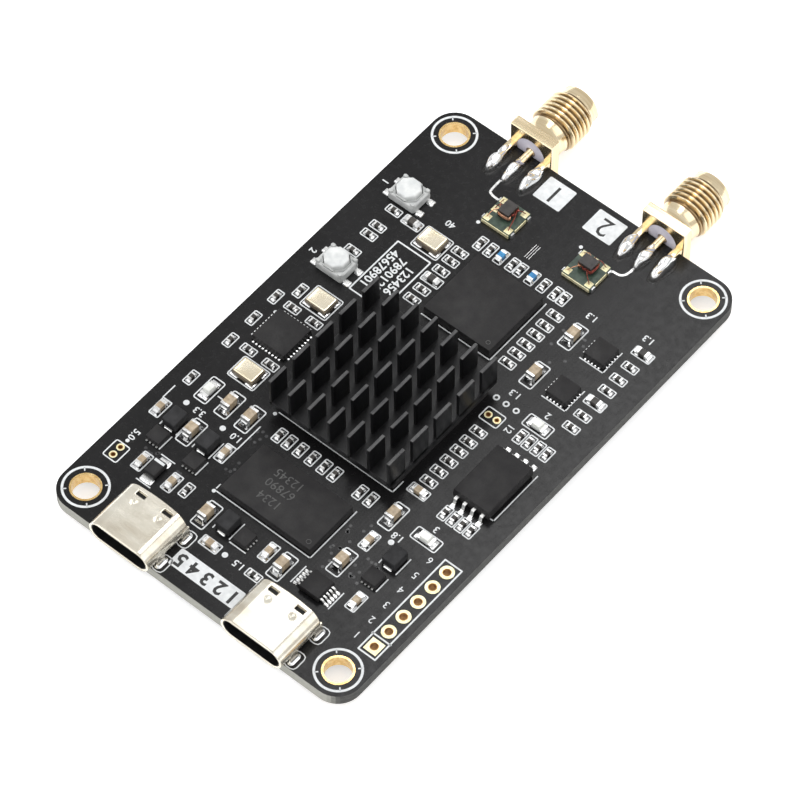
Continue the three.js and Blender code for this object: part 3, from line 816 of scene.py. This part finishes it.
low, high = span("input_diode")
x, y, _ = middle("input_diode")
piece("input_diode_body", put(moulded(1.7, 2.35, 0.06, mould_split(0.95, 0.08), 2), x, y, low[2]), EPOXY,
      instead_of=["input_diode"])
for side in (-1, 1):
    leads.append(put(bar(1.25, 0.85, -0.02, 0.14), x, y + side * 1.27, low[2]))
    solder.append(put(moulded(1.7, 1.0, 0.15, [(0, 0), (0.04, 0.04), (0.2, 0.1)], 1), x, y + side * 1.5, TOP))
piece("diode_stripe", put(bar(1.45, 0.35, 0, 0.006, 0.002), x, y + 0.75, high[2]), PRINT)

# %% Crystals
def crystal(node):
    """A ceramic tray and a welded lid, set in from the tray's edge, with a rolled rim."""
    low, high = span(node)
    width, depth, height = high - low
    x, y, _ = middle(node)
    tray_height = height * 0.74
    tray = [(0, 0), (0, tray_height - 0.03), (0.03, tray_height)]
    lid = [(0.1, tray_height - 0.05), (0.1, height - 0.09), (0.13, height - 0.03), (0.19, height),
           (0.34, height), (0.42, height - 0.025)]
    piece(node + "_tray", put(moulded(width, depth, 0.12, tray, 2), x, y, low[2]), CAN_BODY,
          instead_of=[node])
    piece(node + "_lid", put(moulded(width, depth, 0.35, lid, 5), x, y, low[2]), CAN_LID)
    for sx in (-1, 1):
        for sy in (-1, 1):
            pad = moulded(1.25, 1.05, 0.1, [(0, 0), (0.03, 0.05), (0.1, 0.1)], 1)
            solder.append(put(pad, x + sx * (width / 2 - 0.4), y + sy * (depth / 2 - 0.3), TOP))


for node in ("reference_oscillator", "usb_crystal", "soc_crystal"):
    crystal(node)

# %% Lamps
for node, turn in (("power_light", 90), ("status_light", 0), ("done_light", 0)):
    low, high = span(node)
    x, y, _ = middle(node)
    height = high[2] - low[2]
    tray = put(moulded(1.75, 1.15, 0.05, [(0, 0), (0, 0.27), (0.03, 0.3)], 1), x, y, low[2], turn)
    lens = moulded(1.25, 1.08, 0.08, [(0, 0.28), (0.05, height - 0.06), (0.1, height)], 3)
    lens = put(lens, x, y, low[2], turn)
    piece(node + "_tray", tray, WHITE, instead_of=[node])
    piece(node + "_lens", lens, LAMP)
    for side in (-1, 1):
        leads.append(put(put(bar(0.42, 1.2, -0.02, 0.33), side * 0.82), x, y, low[2], turn))
        pad = moulded(0.75, 1.35, 0.1, [(0, 0), (0.04, 0.06), (0.12, 0.15)], 1)
        solder.append(put(put(pad, side * 1.1), x, y, TOP, turn))
print("crystals and lamps done")

# %% [markdown]
# ## Wound transformers
#
# Each transformer is a green laminate raft with gold pads and a two-hole ferrite core glued on
# top. Fine enamelled wire passes through the holes and round the legs, then drops to the pads.
# A wire is a circle carried along a path, so a few points, with their corners cut until the
# line is smooth, are all it takes.

# %% Wires
def eased(points, times=3, closed=False):
    """Corner cutting: each corner is swapped for points a quarter and three quarters of the way
    along its two sides, so many times over."""
    path = np.asarray(points, float)
    for _ in range(times):
        nxt = np.roll(path, -1, 0) if closed else path[1:]
        here = path if closed else path[:-1]
        cut = np.stack([0.75 * here + 0.25 * nxt, 0.25 * here + 0.75 * nxt], 1).reshape(-1, 3)
        path = cut if closed else np.concatenate([path[:1], cut, path[-1:]])
    return path


def tube(path, radius, sides=8, closed=False):
    """A round wire: circles of the given radius carried along a path and square to it."""
    along = np.roll(path, -1, 0) - np.roll(path, 1, 0) if closed else np.gradient(path, axis=0)
    along /= np.linalg.norm(along, axis=1, keepdims=True)
    side = np.cross([0.13, 0.21, 1.0], along)
    side /= np.linalg.norm(side, axis=1, keepdims=True)
    up = np.cross(along, side)
    angle = np.linspace(0, 2 * math.pi, sides, endpoint=False)[:, None]
    rings = path[:, None] + radius * (np.cos(angle) * side[:, None] + np.sin(angle) * up[:, None])
    return loft(rings, caps=not closed, wrap=closed)


def winding(z, inner, outer, half_length):
    """One closed turn round a leg of the core, level at height z, its holes running along Y."""
    points = [(inner, -half_length, z), (outer, -half_length, z),
              (outer, half_length, z), (inner, half_length, z)]
    return tube(eased(points, 2, True), WIRE, 8, True)


# %% Transformer rafts, cores and wires
WIRE = 0.06
gold_pads = []
for side, turn in (("transmit", 90), ("receive", 0)):
    low, high = span(f"{side}_transformer_base")
    x, y, _ = middle(f"{side}_transformer_base")
    raft_top = high[2]
    raft = moulded(4.2, 4.2, 0.05, [(0, 0), (0, raft_top - low[2] - 0.03), (0.03, raft_top - low[2])], 1)
    piece(f"{side}_transformer_raft", put(raft, x, y, low[2]), GREEN,
          instead_of=[f"{side}_transformer_base"])
    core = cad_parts[f"{side}_transformer_core"].data.materials
    core.clear()
    core.append(CORE)
    core_x, core_y, core_z = middle(f"{side}_transformer_core")
    quarter = [(-1.6, -1.55), (1.6, -1.55), (-1.6, 1.55), (1.6, 1.55),
               (-1.6 if turn else 0.0, 0.0 if turn else 1.55)]
    for px, py in quarter:
        pale_pads.append(put(bar(0.85, 0.9, 0, 0.03, 0.01), x + px, y + py, raft_top))
        drop = moulded(0.6, 0.65, 0.25, [(0, 0), (0.04, 0.06), (0.14, 0.13), (0.24, 0.16)])
        pale_pads.append(put(drop, x + px, y + py, raft_top + 0.02))
    for px in (-1.72, 1.72):
        for py in (-1.55, 1.55):
            end = moulded(0.55, 0.8, 0.12, [(0, 0), (0.02, 0.25), (0.12, 0.55)], 3)
            solder.append(put(end, x + 1.26 * px, y + py, TOP))
    pale_pads.append(put(bar(4.1, 0.14, 0, 0.5, 0.02), x, y - 2.13, low[2] + 0.05))
    pale_pads.append(put(bar(0.14, 2.1, 0, 0.5, 0.02), x + 2.13, y, low[2] + 0.05))

    red = [winding(dz, 0.45, 1.07, 0.9) for dz in (-0.18, 0.0, 0.18)]
    red += [winding(dz, -0.45, 0.45, 0.92) for dz in (-0.1, 0.1)]
    bare = [winding(dz, -0.45, -1.07, 0.9) for dz in (-0.16, 0.02, 0.16)]
    c, s_turn = math.cos(math.radians(turn)), math.sin(math.radians(turn))
    ends = [(c * px + s_turn * py, c * py - s_turn * px) for px, py in
            ((x + px - core_x, y + py - core_y) for px, py in quarter)]
    for (px, py), lead_x, wires in zip(ends, (-0.6, 0.5, -0.4, 0.55, 0.1), (bare, red, bare, red, red)):
        out = -1 if py < 0 else 1
        drop = raft_top + 0.14 - core_z
        points = [(lead_x, out * 0.5, 0.05), (lead_x, out * 1.0, 0.3),
                  ((lead_x + px) / 2, (out * 1.3 + py) / 2, 0.15),
                  (px, py, drop + 0.1), (px * 1.05, py * 1.05, drop)]
        wires.append(tube(eased(points), WIRE))
    piece(f"{side}_red_windings", put(heap(red), core_x, core_y, core_z, turn), RED_WIRE)
    piece(f"{side}_copper_windings", put(heap(bare), core_x, core_y, core_z, turn), COPPER_WIRE)
print("two transformers wound")

# %% [markdown]
# ## Push switches
#
# A switch is a white square frame with an octagonal collar, and an octagonal button that stands
# out of it. Square, collar and well are all written as a radius for each direction, so one set
# of rings runs from the outer wall, over the rim, and down the well with no joins. The snap
# dome under the button flattens as it is pressed; here it only gets a mesh of its own.

# %% Switch frames, buttons and domes
FINE = np.linspace(0, 2 * math.pi, 48, endpoint=False)


def polar(radius, angle=FINE):
    """Outline points from a radius for each direction."""
    return np.stack([np.cos(angle), np.sin(angle)], -1) * np.asarray(radius)[..., None]


def square_radius(half_x, half_y, power=9, angle=FINE):
    """A square with soft corners: |x / a|^n + |y / b|^n = 1."""
    return (np.abs(np.cos(angle) / half_x) ** power + np.abs(np.sin(angle) / half_y) ** power) ** (-1 / power)


def octagon_radius(across, angle=FINE):
    """A regular octagon: half the width over the flats, over the cosine of the angle from a flat."""
    fold = (angle + math.pi / 8) % (math.pi / 4) - math.pi / 8
    return across / 2 / np.cos(fold)


for name in ("user", "reset"):
    low, high = span(f"{name}_switch_frame")
    x, y, _ = middle(f"{name}_switch_frame")
    wall_x, wall_y = (high - low)[:2] / 2
    rim, floor = high[2] - low[2], 0.0
    outer = square_radius(wall_x, wall_y)
    shoulder = square_radius(wall_x - 0.12, wall_y - 0.12)
    collar = np.minimum(octagon_radius(3.5), shoulder - 0.08)
    well = octagon_radius(3.24)
    stations = [(outer, floor), (outer, rim - 0.42), (outer - 0.04, rim - 0.36), (shoulder, rim - 0.3),
                (collar, rim - 0.26), (collar - 0.02, rim - 0.05), (collar - 0.06, rim), (well + 0.03, rim),
                (well, rim - 0.04), (well, floor)]
    rings = [level(polar(radius), z) for radius, z in stations]
    piece(f"{name}_switch_housing", put(loft(rings, wrap=True), x, y, low[2]), WHITE,
          instead_of=[f"{name}_switch_frame"])
    lugs = [put(moulded(0.62, 0.5, 0.2, [(0, 0), (0, 0.2), (0.06, 0.28)], 3), x + sx * (wall_x - 0.36),
                y + sy * (wall_y - 0.3), high[2] - 0.32) for sx in (-1, 1) for sy in (-1, 1)]
    base_low = span(f"{name}_switch_base")[0]
    plate = moulded(2 * wall_x - 0.05, 2 * wall_y - 0.05, 0.3, [(0.05, 0), (0, 0.06), (0, 0.5)], 3)
    piece(f"{name}_switch_floor", heap([put(plate, x, y, base_low[2])] + lugs), WHITE,
          instead_of=[f"{name}_switch_base"])
    for sx in (-1, 1):
        for sy in (-1, 1):
            foot_x, foot_y = x + sx * (wall_x + 0.22), y + sy * 1.05
            leads.append(put(bar(0.95, 0.55, -0.02, 0.2, 0.04), foot_x, foot_y, base_low[2]))
            foot = moulded(0.95, 0.95, 0.15, [(0, 0), (0.05, 0.08), (0.18, 0.2)], 2)
            solder.append(put(foot, foot_x + sx * 0.25, foot_y, TOP))

    cap_low, cap_high = span(f"{name}_button")
    tall = cap_high[2] - cap_low[2]
    across = cap_high[0] - cap_low[0]
    stations = [(0, 0), (0, tall - 0.3), (0.05, tall - 0.14), (0.14, tall - 0.05), (0.28, tall - 0.01),
                (0.5, tall), (1.0, tall - 0.03), (1.4, tall - 0.04)]
    rings = [level(polar(octagon_radius(across - 2 * inset)), z) for inset, z in stations]
    piece(f"{name}_button_cap", put(loft(rings), x, y, cap_low[2]), WHITE_CAP,
          body=f"{name}_button", instead_of=[f"{name}_button"])

    dome_low, dome_high = span(f"{name}_switch_dome")
    rise, rim_radius, thick = dome_high[2] - dome_low[2], (dome_high[0] - dome_low[0]) / 2, 0.07
    reach = np.linspace(0.02, 1, 14)
    arch = (rise - thick) * (1 - reach ** 2.4)
    upper = [level(circle(rim_radius * r, 32), z + thick) for r, z in zip(reach, arch)]
    under = [level(circle(rim_radius * r, 32), z) for r, z in zip(reach, arch)]
    dome = piece(f"{name}_snap_dome", put(loft(under + upper[::-1]), x, y, dome_low[2]), SPRING,
                 instead_of=[f"{name}_switch_dome"])
    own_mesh(dome)
print("two switches")

# %% [markdown]
# ## USB-C sockets
#
# The shell is thin sheet, so it is drawn as one open surface: along it runs the distance round
# a flat oval, and into it the distance from the mouth. Cells are left out where the sheet has
# its latch slots, two shallow dimples are pressed in, and Solidify gives the sheet its
# thickness, slot walls included. A solid block with boolean cuts would lose the clean edges.

# %% The socket shell
SHEET = 0.3
usb_low, usb_high = span("left_usb_shell")
USB_WIDTH, USB_HEIGHT = 8.94, 3.2
USB_LENGTH = usb_high[1] - usb_low[1]
USB_FLOOR = usb_high[2] - USB_HEIGHT
SLOTS = ((-2.6, -1.2), (1.3, 2.7))
SLOT_BACK, SLOT_FRONT = 6.62, 5.95
DIMPLES = ((-1.8, 4.95), (1.8, 4.95))


def flat_oval(width, height, flat_steps=44, arc_steps=14):
    """Points round a rectangle whose ends are half circles, counter-clockwise from lower right."""
    radius = height / 2
    straight = width / 2 - radius
    flat = np.linspace(-straight, straight, flat_steps, endpoint=False)
    bend = np.linspace(-math.pi / 2, math.pi / 2, arc_steps, endpoint=False)
    right = np.stack([straight + radius * np.cos(bend), radius * np.sin(bend)], -1)
    left = -right
    top = np.stack([-flat, np.full(flat_steps, radius)], -1)
    return np.concatenate([right, top, left, -top])


def socket_shell(name, x):
    outline = flat_oval(USB_WIDTH, USB_HEIGHT, flat_steps=60)
    depth = np.concatenate([[0, 0.06, 0.16], np.linspace(0.3, USB_LENGTH, 84)])
    px, py = np.meshgrid(outline[:, 0], depth, indexing="ij")
    pz = np.repeat(outline[:, 1:2], len(depth), 1)
    flare = 0.05 * np.clip(1 - py / 0.16, 0, 1)
    rear_bow = 0.35 * (px / (USB_WIDTH / 2)) ** 2 * np.clip((py - 6.7) / 0.45, 0, 1)
    top = pz > USB_HEIGHT / 2 - 0.02
    press = sum(0.16 * np.exp(-(((px - dx) ** 2 + (py - dy) ** 2) / 0.09)) for dx, dy in DIMPLES)
    points = np.stack([px * (1 - flare / 6), py - rear_bow, pz * (1 - flare / 2) - press * top], -1)
    count, across = len(outline), len(depth)
    i, j = np.meshgrid(np.arange(count), np.arange(across - 1), indexing="ij")
    nxt = (i + 1) % count
    quads = np.stack([i * across + j, i * across + j + 1, nxt * across + j + 1, nxt * across + j], -1)
    mid_x = (px[:, :-1] + px[nxt[:, 0]][:, :-1]) / 2
    mid_y = (py[:, :-1] + py[:, 1:]) / 2
    slot = sum(((mid_x > a) & (mid_x < b) for a, b in SLOTS))
    slot = slot & (mid_y > SLOT_FRONT) & (mid_y < SLOT_BACK) & top[:, :-1]
    faces = quads[~slot.astype(bool)]
    used, renumbered = np.unique(faces, return_inverse=True)
    sheet = points.reshape(-1, 3)[used] + [x, usb_low[1], USB_FLOOR + USB_HEIGHT / 2]
    shell = piece(f"{name}_usb_sleeve", (sheet, [renumbered.reshape(-1, 4)]), NICKEL,
                  instead_of=[f"{name}_usb_shell"], crease=50)
    wall = shell.modifiers.new("sheet thickness", "SOLIDIFY")
    wall.thickness = SHEET * MM
    wall.offset = -1
    wall.use_even_offset = True
    return shell


for name in ("left", "right"):
    x, _, _ = middle(f"{name}_usb_shell")
    socket_shell(name, x)
    inner = flat_oval(USB_WIDTH - 2 * SHEET - 0.04, USB_HEIGHT - 2 * SHEET - 0.04)[::-1]
    back = loft([np.column_stack([inner[:, 0], np.full(len(inner), y), inner[:, 1]]) for y in (6.55, 6.75)])
    back = put(back, x, usb_low[1], USB_FLOOR + USB_HEIGHT / 2)
    stakes = [put(bar(SHEET, 1.3, 0, USB_FLOOR + 1.8 - 0.3, 0.05), x + side * (USB_WIDTH - SHEET) / 2, y, 0.3)
              for side in (-1, 1) for y in STAKE_ROWS]
    piece(f"{name}_usb_stakes", heap([back] + stakes), NICKEL)
    for side in (-1, 1):
        for y in STAKE_ROWS:
            plug = moulded(0.95, 1.9, 0.45, [(0, 0), (0.05, 0.03), (0.2, 0.05), (0.3, 0.22), (0.36, 0.5)], 4)
            solder.append(put(plug, x + side * 4.32, y, TOP))
            ring_pad = washer(rounded(1.3, 2.35, 0.6, 4), rounded(0.7, 1.75, 0.34, 4), 0, 0.03)
            leads.append(put(ring_pad, x + side * 4.32, y, -0.03))
            under = moulded(1.0, 2.05, 0.45, [(0.2, -0.28), (0.1, -0.14), (0, -0.03), (0.2, 0.3)], 4)
            solder.append(put(under, x + side * 4.32, y, 0))
    for step in (np.arange(12) - 5.5) * 0.5:
        leads.append(put(bar(0.26, 1.1, 0, 0.14), x + step, usb_low[1] + USB_LENGTH + 0.15, TOP))
    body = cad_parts[f"{name}_usb_insert"].data.materials
    body.clear()
    body.append(BLACK)
    bore = flat_oval(USB_WIDTH - 2 * SHEET - 0.03, USB_HEIGHT - 2 * SHEET - 0.03)[::-1]
    sleeve = loft([np.column_stack([bore[:, 0] * k, np.full(len(bore), y), bore[:, 1] * k])
                   for k, y in ((1, 0.12), (1, 6.5), (0.97, 6.5), (0.97, 0.12))], wrap=True)
    tongue_mid = USB_FLOOR + USB_HEIGHT / 2
    # A dark lining inside the sheet is painted shade: it keeps the mouth black, where bare metal would shine.
    piece(f"{name}_usb_shade_lining", put(sleeve, x, usb_low[1], tongue_mid), BLACK)
    contacts = [put(bar(0.24, 3.6, -0.365, 0.365, 0.01), x + step, usb_low[1] + 3.0, tongue_mid)
                for step in (np.arange(12) - 5.5) * 0.5]
    piece(f"{name}_usb_contacts", heap(contacts), GILT)
print("two USB-C sockets")

# %% [markdown]
# ## Coaxial jacks
#
# A jack is turned from one bar: a square flange, a neck, a threaded barrel and a thin lip. The
# thread is a helix, so the radius depends on both the angle and the distance along the axis:
# the height of the ridge is read at (distance / pitch - angle / full turn). Square, neck,
# thread, lip and bore share the same 96 directions, so one skin covers the whole body.

# %% Barrel plating and turned jack bodies
def barrel_gold():
    """Gold with painted shade: the thread roots are painted brown. The tone follows the distance
    from the nearer jack's axis, worked out from the surface's own coordinates."""
    finish = Finish("barrel_gold", 0.17, 1.0)
    part = finish.add("SeparateXYZ", Vector=finish.where).outputs
    axis_x = abs(middle("transmit_jack_insulator")[0]) * MM
    off_x = finish.sum("SUBTRACT", finish.sum("ABSOLUTE", part["X"], 0.0), axis_x)
    off_z = finish.sum("SUBTRACT", part["Z"], middle("transmit_jack_insulator")[2] * MM)
    squares = finish.sum("POWER", off_x, 2.0), finish.sum("POWER", off_z, 2.0)
    radius = finish.sum("SQRT", finish.sum("ADD", *squares), 0.0)
    drift = finish.noise(1.5, 3.0, (5, 0.25, 5))
    clean = finish.ramp(drift, (0.80, 0.63, 0.38), (0.95, 0.82, 0.58))
    root = finish.add("MapRange", Value=radius, From_Min=2.76 * MM, From_Max=3.08 * MM).outputs["Result"]
    barrel = finish.sum("GREATER_THAN", part["Y"], 40.15 * MM)
    # painted shade: the thread roots along the threaded length are painted brown
    root_shade = finish.sum("MULTIPLY", barrel, finish.sum("SUBTRACT", 1.0, root))
    lip = finish.sum("LESS_THAN", part["Y"], 44.85 * MM)
    finish.colour(finish.blend(finish.sum("MULTIPLY", root_shade, lip), clean, (0.20, 0.12, 0.05)))
    finish.gloss(finish.between(drift, 0.13, 0.24))
    return finish.material


BARREL = barrel_gold()
AROUND = np.linspace(0, 2 * math.pi, 96, endpoint=False)
THREAD_PITCH, THREAD_CREST, THREAD_ROOT = 0.7056, 3.17, 2.74
THREAD_START, THREAD_END = 3.75, 8.3
jack_low, jack_high = span("transmit_jack_body")
JACK_REAR = 36.5
JACK_AXIS = (jack_low[2] + jack_high[2]) / 2
JACK_END = jack_high[1] - JACK_REAR
BORE_FLOOR = JACK_END - 1.95


def thread_rings():
    """Radius = root + depth * ridge, where the ridge is a clipped triangle wave of the helix
    phase, faded in and out over the first and last half millimetre."""
    y = np.arange(THREAD_START, THREAD_END + 0.01, THREAD_PITCH / 12)
    phase = (y[:, None] / THREAD_PITCH - AROUND / (2 * math.pi)) % 1
    ridge = np.clip(1.5 * (1 - 2 * np.abs(phase - 0.5)) - 0.15, 0, 1)
    ends = np.clip(np.minimum(y - THREAD_START, THREAD_END - y) / 0.5, 0, 1)[:, None]
    radius = THREAD_ROOT + (THREAD_CREST - THREAD_ROOT) * ridge * ends
    return list(zip(radius, y))


def jack_skin():
    """Rings from the flange's rear face out round the square, along the barrel and back down
    the bore, drawn about Z."""
    flange = 3.15 / np.maximum(np.abs(np.cos(AROUND)), np.abs(np.sin(AROUND)))
    stations = [(np.full(96, 2.1), 0.0), (flange - 0.16, 0.0), (flange - 0.08, 0.0), (flange, 0.08),
                (flange, 0.16), (flange, 1.39), (flange, 1.47), (flange - 0.08, 1.55), (flange - 0.16, 1.55)]
    stations += [(np.full(96, r), y) for r, y in (
        (2.86, 1.55), (2.78, 1.56), (2.66, 1.68), (2.65, 3.45), (2.72, 3.6))]
    stations += thread_rings()
    stations += [(np.full(96, r), y) for r, y in (
        (2.69, 8.4), (2.68, 8.5), (2.68, JACK_END - 0.08), (2.61, JACK_END), (2.37, JACK_END),
        (2.3, JACK_END - 0.07), (2.3, BORE_FLOOR), (2.12, BORE_FLOOR), (2.1, 5.0))]
    return loft([level(polar(radius, AROUND), y) for radius, y in stations], wrap=True)


def contact_skin():
    """A turned pin, its front end bored for a plug's pin and slit four ways: near each slit the
    radius dips. Drawn about Z."""
    front = BORE_FLOOR + 0.05
    slit = np.cos(2 * AROUND) ** 2 < 0.02
    plain = [(0.40, -4.7), (0.47, -4.6), (0.48, -0.1), (0.635, 0.1), (0.635, front - 2.3)]
    stations = [(np.full(96, r), y) for r, y in plain]
    stations += [(np.where(slit, 0.47, r), y) for r, y in (
        (0.635, front - 2.2), (0.635, front - 0.1), (0.58, front))]
    stations += [(np.full(96, r), y) for r, y in (
        (0.46, front), (0.44, front - 0.1), (0.44, front - 2.0), (0.05, front - 2.2))]
    return loft([level(polar(radius, AROUND), y) for radius, y in stations])


def insulator_skin():
    stations = [(2.06, -0.02), (2.06, BORE_FLOOR - 0.02), (0.7, BORE_FLOOR - 0.02), (0.7, -0.02)]
    return loft([level(circle(r, 64), y) for r, y in stations], wrap=True)


# %% Solder mounds
def mound(length, width, height, seed):
    """A solder fillet along Y. Its half width and height follow the sine of the way along, to a
    small power so the ends are blunt, with slow ripples; the lower half is flat on the board."""
    along = np.linspace(0.02, 0.98, 28)[:, None]
    angle = np.linspace(0, 2 * math.pi, 28, endpoint=False)
    phase = np.random.default_rng(seed).uniform(0, 6.28, 4)
    ripple = 1 + 0.10 * np.sin(9 * along + phase[0]) + 0.07 * np.sin(17 * along + 2 * angle + phase[1])
    body = np.sin(math.pi * along) ** 0.38
    x = width / 2 * body * np.cos(angle) * (1 + 0.12 * np.sin(7 * along + phase[2]))
    y = (along - 0.5) * length + 0 * angle
    z = height * body * np.clip(np.sin(angle), 0, 1) ** 0.8 * ripple
    return loft(np.stack([x, y, z], -1)[::-1])


LEG, LEG_SPREAD, LEG_LENGTH = 0.95, 2.55, 4.6
seed, flux = 3, []
for name in ("transmit", "receive"):
    x, _, _ = middle(f"{name}_jack_insulator")
    at = (x, JACK_REAR, JACK_AXIS)
    piece(f"{name}_jack_barrel", put(along_y(jack_skin()), *at), BARREL,
          instead_of=[f"{name}_jack_body"], crease=48)
    leg = moulded(LEG, LEG, 0.1, [(0.14, -LEG_LENGTH), (0, -LEG_LENGTH + 0.25), (0, 0.2)], 2)
    upper = TOP + 0.03 + LEG / 2
    lower = -0.05 - LEG / 2
    legs = [put(along_y(leg), x + side * LEG_SPREAD, JACK_REAR, z)
            for side in (-1, 1) for z in (upper, lower)]
    piece(f"{name}_jack_legs", heap(legs), GILT)
    piece(f"{name}_jack_spacer", put(along_y(insulator_skin()), *at), WAX,
          instead_of=[f"{name}_jack_insulator"])
    piece(f"{name}_jack_pin", put(along_y(contact_skin()), *at), GILT,
          instead_of=[f"{name}_jack_contact"], crease=50)
    for side in (-1, 1):
        seed += 1
        solder.append(put(mound(4.7, 1.6, 1.4, seed), x + side * LEG_SPREAD, JACK_REAR - 3.0, TOP))
        flux.append(put(mound(5.4, 2.3, 0.05, seed + 40), x + side * LEG_SPREAD, JACK_REAR - 3.1, TOP))
        flat = mound(4.4, 1.9, 0.95, seed + 20)
        solder.append((flat[0] * [1, 1, -1] + [x + side * LEG_SPREAD, JACK_REAR - 2.6, 0],
                       [block[:, ::-1] for block in flat[1]]))
    seed += 1
    solder.append(put(mound(4.5, 1.4, 1.38, seed), x, JACK_REAR - 3.25, TOP))
    flux.append(put(mound(5.0, 2.0, 0.05, seed + 40), x, JACK_REAR - 3.1, TOP))
    gold_pads += [put(bar(1.9, 4.9, -0.03, 0, 0.01), x + side * LEG_SPREAD, JACK_REAR - 2.65)
                  for side in (-1, 1)]
piece("flux_residue", heap(flux), FLUX)
print("two jacks")

# %% Radio traces and heaps
def trace(points, width=0.3):
    """A flat copper track under the lacquer, along a smoothed path."""
    path = eased([(x, y, 0) for x, y in points])
    along = np.gradient(path, axis=0)
    along /= np.linalg.norm(along, axis=1, keepdims=True)
    side = np.cross([0, 0, 1], along) * width / 2
    rings = np.stack([path + side + [0, 0, 0.022], path - side + [0, 0, 0.022], path - side, path + side], 1)
    return put(loft(rings[:, ::-1]), 0, 0, TOP)


tracks = [trace([(-10.4, 31.6), (-10.4, 29.6), (-10.2, 28.9), (-8.2, 28.8)]),
          trace([(9.95, 31.6), (9.95, 30.3), (9.5, 29.4), (8.2, 29.3)])]
tracks += [trace([(tx, 26.6), (tx, 24.3)], 0.06) for tx in (-1.05, -0.75, -0.45)]
leads += tracks
piece("underside_gold_pads", heap(gold_pads), GOLD_PAD)
piece("pale_gold_pads", heap(pale_pads), PALE_PAD)
vias = [plated_hole(vx, 6.65, 0.5, 0.85, 16) for vx in (9.2, 10.65, 12.15)]
# Covered vias are a seeded scatter over five patches, for texture, and are not a circuit.
covered = []
for low_x, high_x, low_y, high_y, count in ((7.6, 9.6, -24, -16, 16), (11.5, 14, -23.5, -19.5, 12),
                                            (-9.2, -7.4, -22, -14, 10), (-18, -11, -25, -24.2, 8),
                                            (9.2, 12.5, 14, 20, 9)):
    spots = np.random.default_rng(count).uniform((low_x, low_y), (high_x, high_y), (count, 2))
    covered += [dot(vx, vy, 0.42, 0.008) for vx, vy in spots.round(1)]
piece("covered_vias", heap(covered), VIA)
piece("ring_vias", heap(vias), PRINT)
piece("solder_fillets", heap(solder), SOLDER, crease=60)
piece("tinned_leads", heap(leads), TIN)
piece("white_legend", heap(ink), PRINT)
piece("knocked_out_numbers", heap(knocked_out), DARK_PRINT)
print(len(made), "pieces,", sum(len(p.data.polygons) for p in made), "faces")

# %% [markdown]
# ## Floor, light and camera
#
# The board lies on white paper that glows slightly, in an even white studio. Three broad soft
# panels stand left, right and in front, away from where the flat faces would mirror them, so
# the lacquer stays dark. A small card light behind lifts the tone of the board's right edge.
# The camera is a long lens, high and to the front right.

# %% Floor
def matt_paper():
    finish = Finish("studio_paper", 0.9, Specular_IOR_Level=0.1)
    finish.colour(finish.ramp(finish.noise(60, 2.0), (0.88, 0.88, 0.88), (0.92, 0.92, 0.92)))
    finish.shader.inputs["Emission Color"].default_value = (1, 1, 1, 1)
    finish.shader.inputs["Emission Strength"].default_value = 0.5
    return finish.material


floor_z = cad_box[0][2] - 0.0004
floor_mesh = bpy.data.meshes.new("studio_floor")
floor_corners = [(sx * 3, sy * 3, floor_z) for sx, sy in ((-1, -1), (1, -1), (1, 1), (-1, 1))]
floor_mesh.from_pydata(floor_corners, [], [(0, 1, 2, 3)])
floor_mesh.materials.append(matt_paper())
floor = bpy.data.objects.new("studio_floor", floor_mesh)
bpy.context.scene.collection.objects.link(floor)

# %% Lights
world = bpy.data.worlds.new("studio")
world.use_nodes = True
world.node_tree.nodes["Background"].inputs["Color"].default_value = (1, 1, 1, 1)
world.node_tree.nodes["Background"].inputs["Strength"].default_value = 0.70
bpy.context.scene.world = world
bpy.context.scene.view_settings.view_transform = "Standard"


def panel(name, azimuth, elevation, distance, size, power):
    """A square soft light aimed at the board, at an azimuth counted from +Y towards +X."""
    a, e = math.radians(azimuth), math.radians(elevation)
    away = np.array([math.sin(a) * math.cos(e), math.cos(a) * math.cos(e), math.sin(e)])
    lamp = bpy.data.lights.new(name, "AREA")
    lamp.shape, lamp.size, lamp.energy = "SQUARE", size, power
    holder = bpy.data.objects.new(name, lamp)
    holder.location = away * distance
    holder.rotation_mode = "QUATERNION"
    holder.rotation_quaternion = holder.location.to_track_quat("Z", "Y")
    bpy.context.scene.collection.objects.link(holder)


panel("left_panel", -125, 50, 1.0, 0.9, 2.6)
panel("right_panel", 75, 48, 1.0, 0.9, 2.3)
panel("front_panel", 170, 42, 1.0, 0.9, 1.5)

card = bpy.data.lights.new("edge_card", "AREA")
card.shape, card.size, card.size_y, card.energy = "RECTANGLE", 0.07, 0.13, 0.12
card_holder = bpy.data.objects.new("edge_card", card)
card_holder.location = (-0.036, 0.103, 0.2)
bpy.context.scene.collection.objects.link(card_holder)

# %% Camera
AZIMUTH, ELEVATION, ROLL = 40.65, 55.77, -0.66
AIM, DISTANCE = (0.85, -0.78, TOP), 527.8

camera = bpy.data.objects.new("camera", bpy.data.cameras.new("camera"))
camera.data.lens, camera.data.sensor_width = 205.17, 36
a, e = math.radians(AZIMUTH), math.radians(ELEVATION)
back = Vector((math.sin(a) * math.cos(e), -math.cos(a) * math.cos(e), math.sin(e)))
camera.location = Vector(AIM) * MM + back * DISTANCE * MM
camera.rotation_mode = "QUATERNION"
aimed = (-back).to_track_quat("-Z", "Y")
camera.rotation_quaternion = aimed @ Matrix.Rotation(math.radians(ROLL), 3, "Z").to_quaternion()
camera.data.clip_start, camera.data.clip_end = 0.01, 20
bpy.context.scene.collection.objects.link(camera)
bpy.context.scene.camera = camera
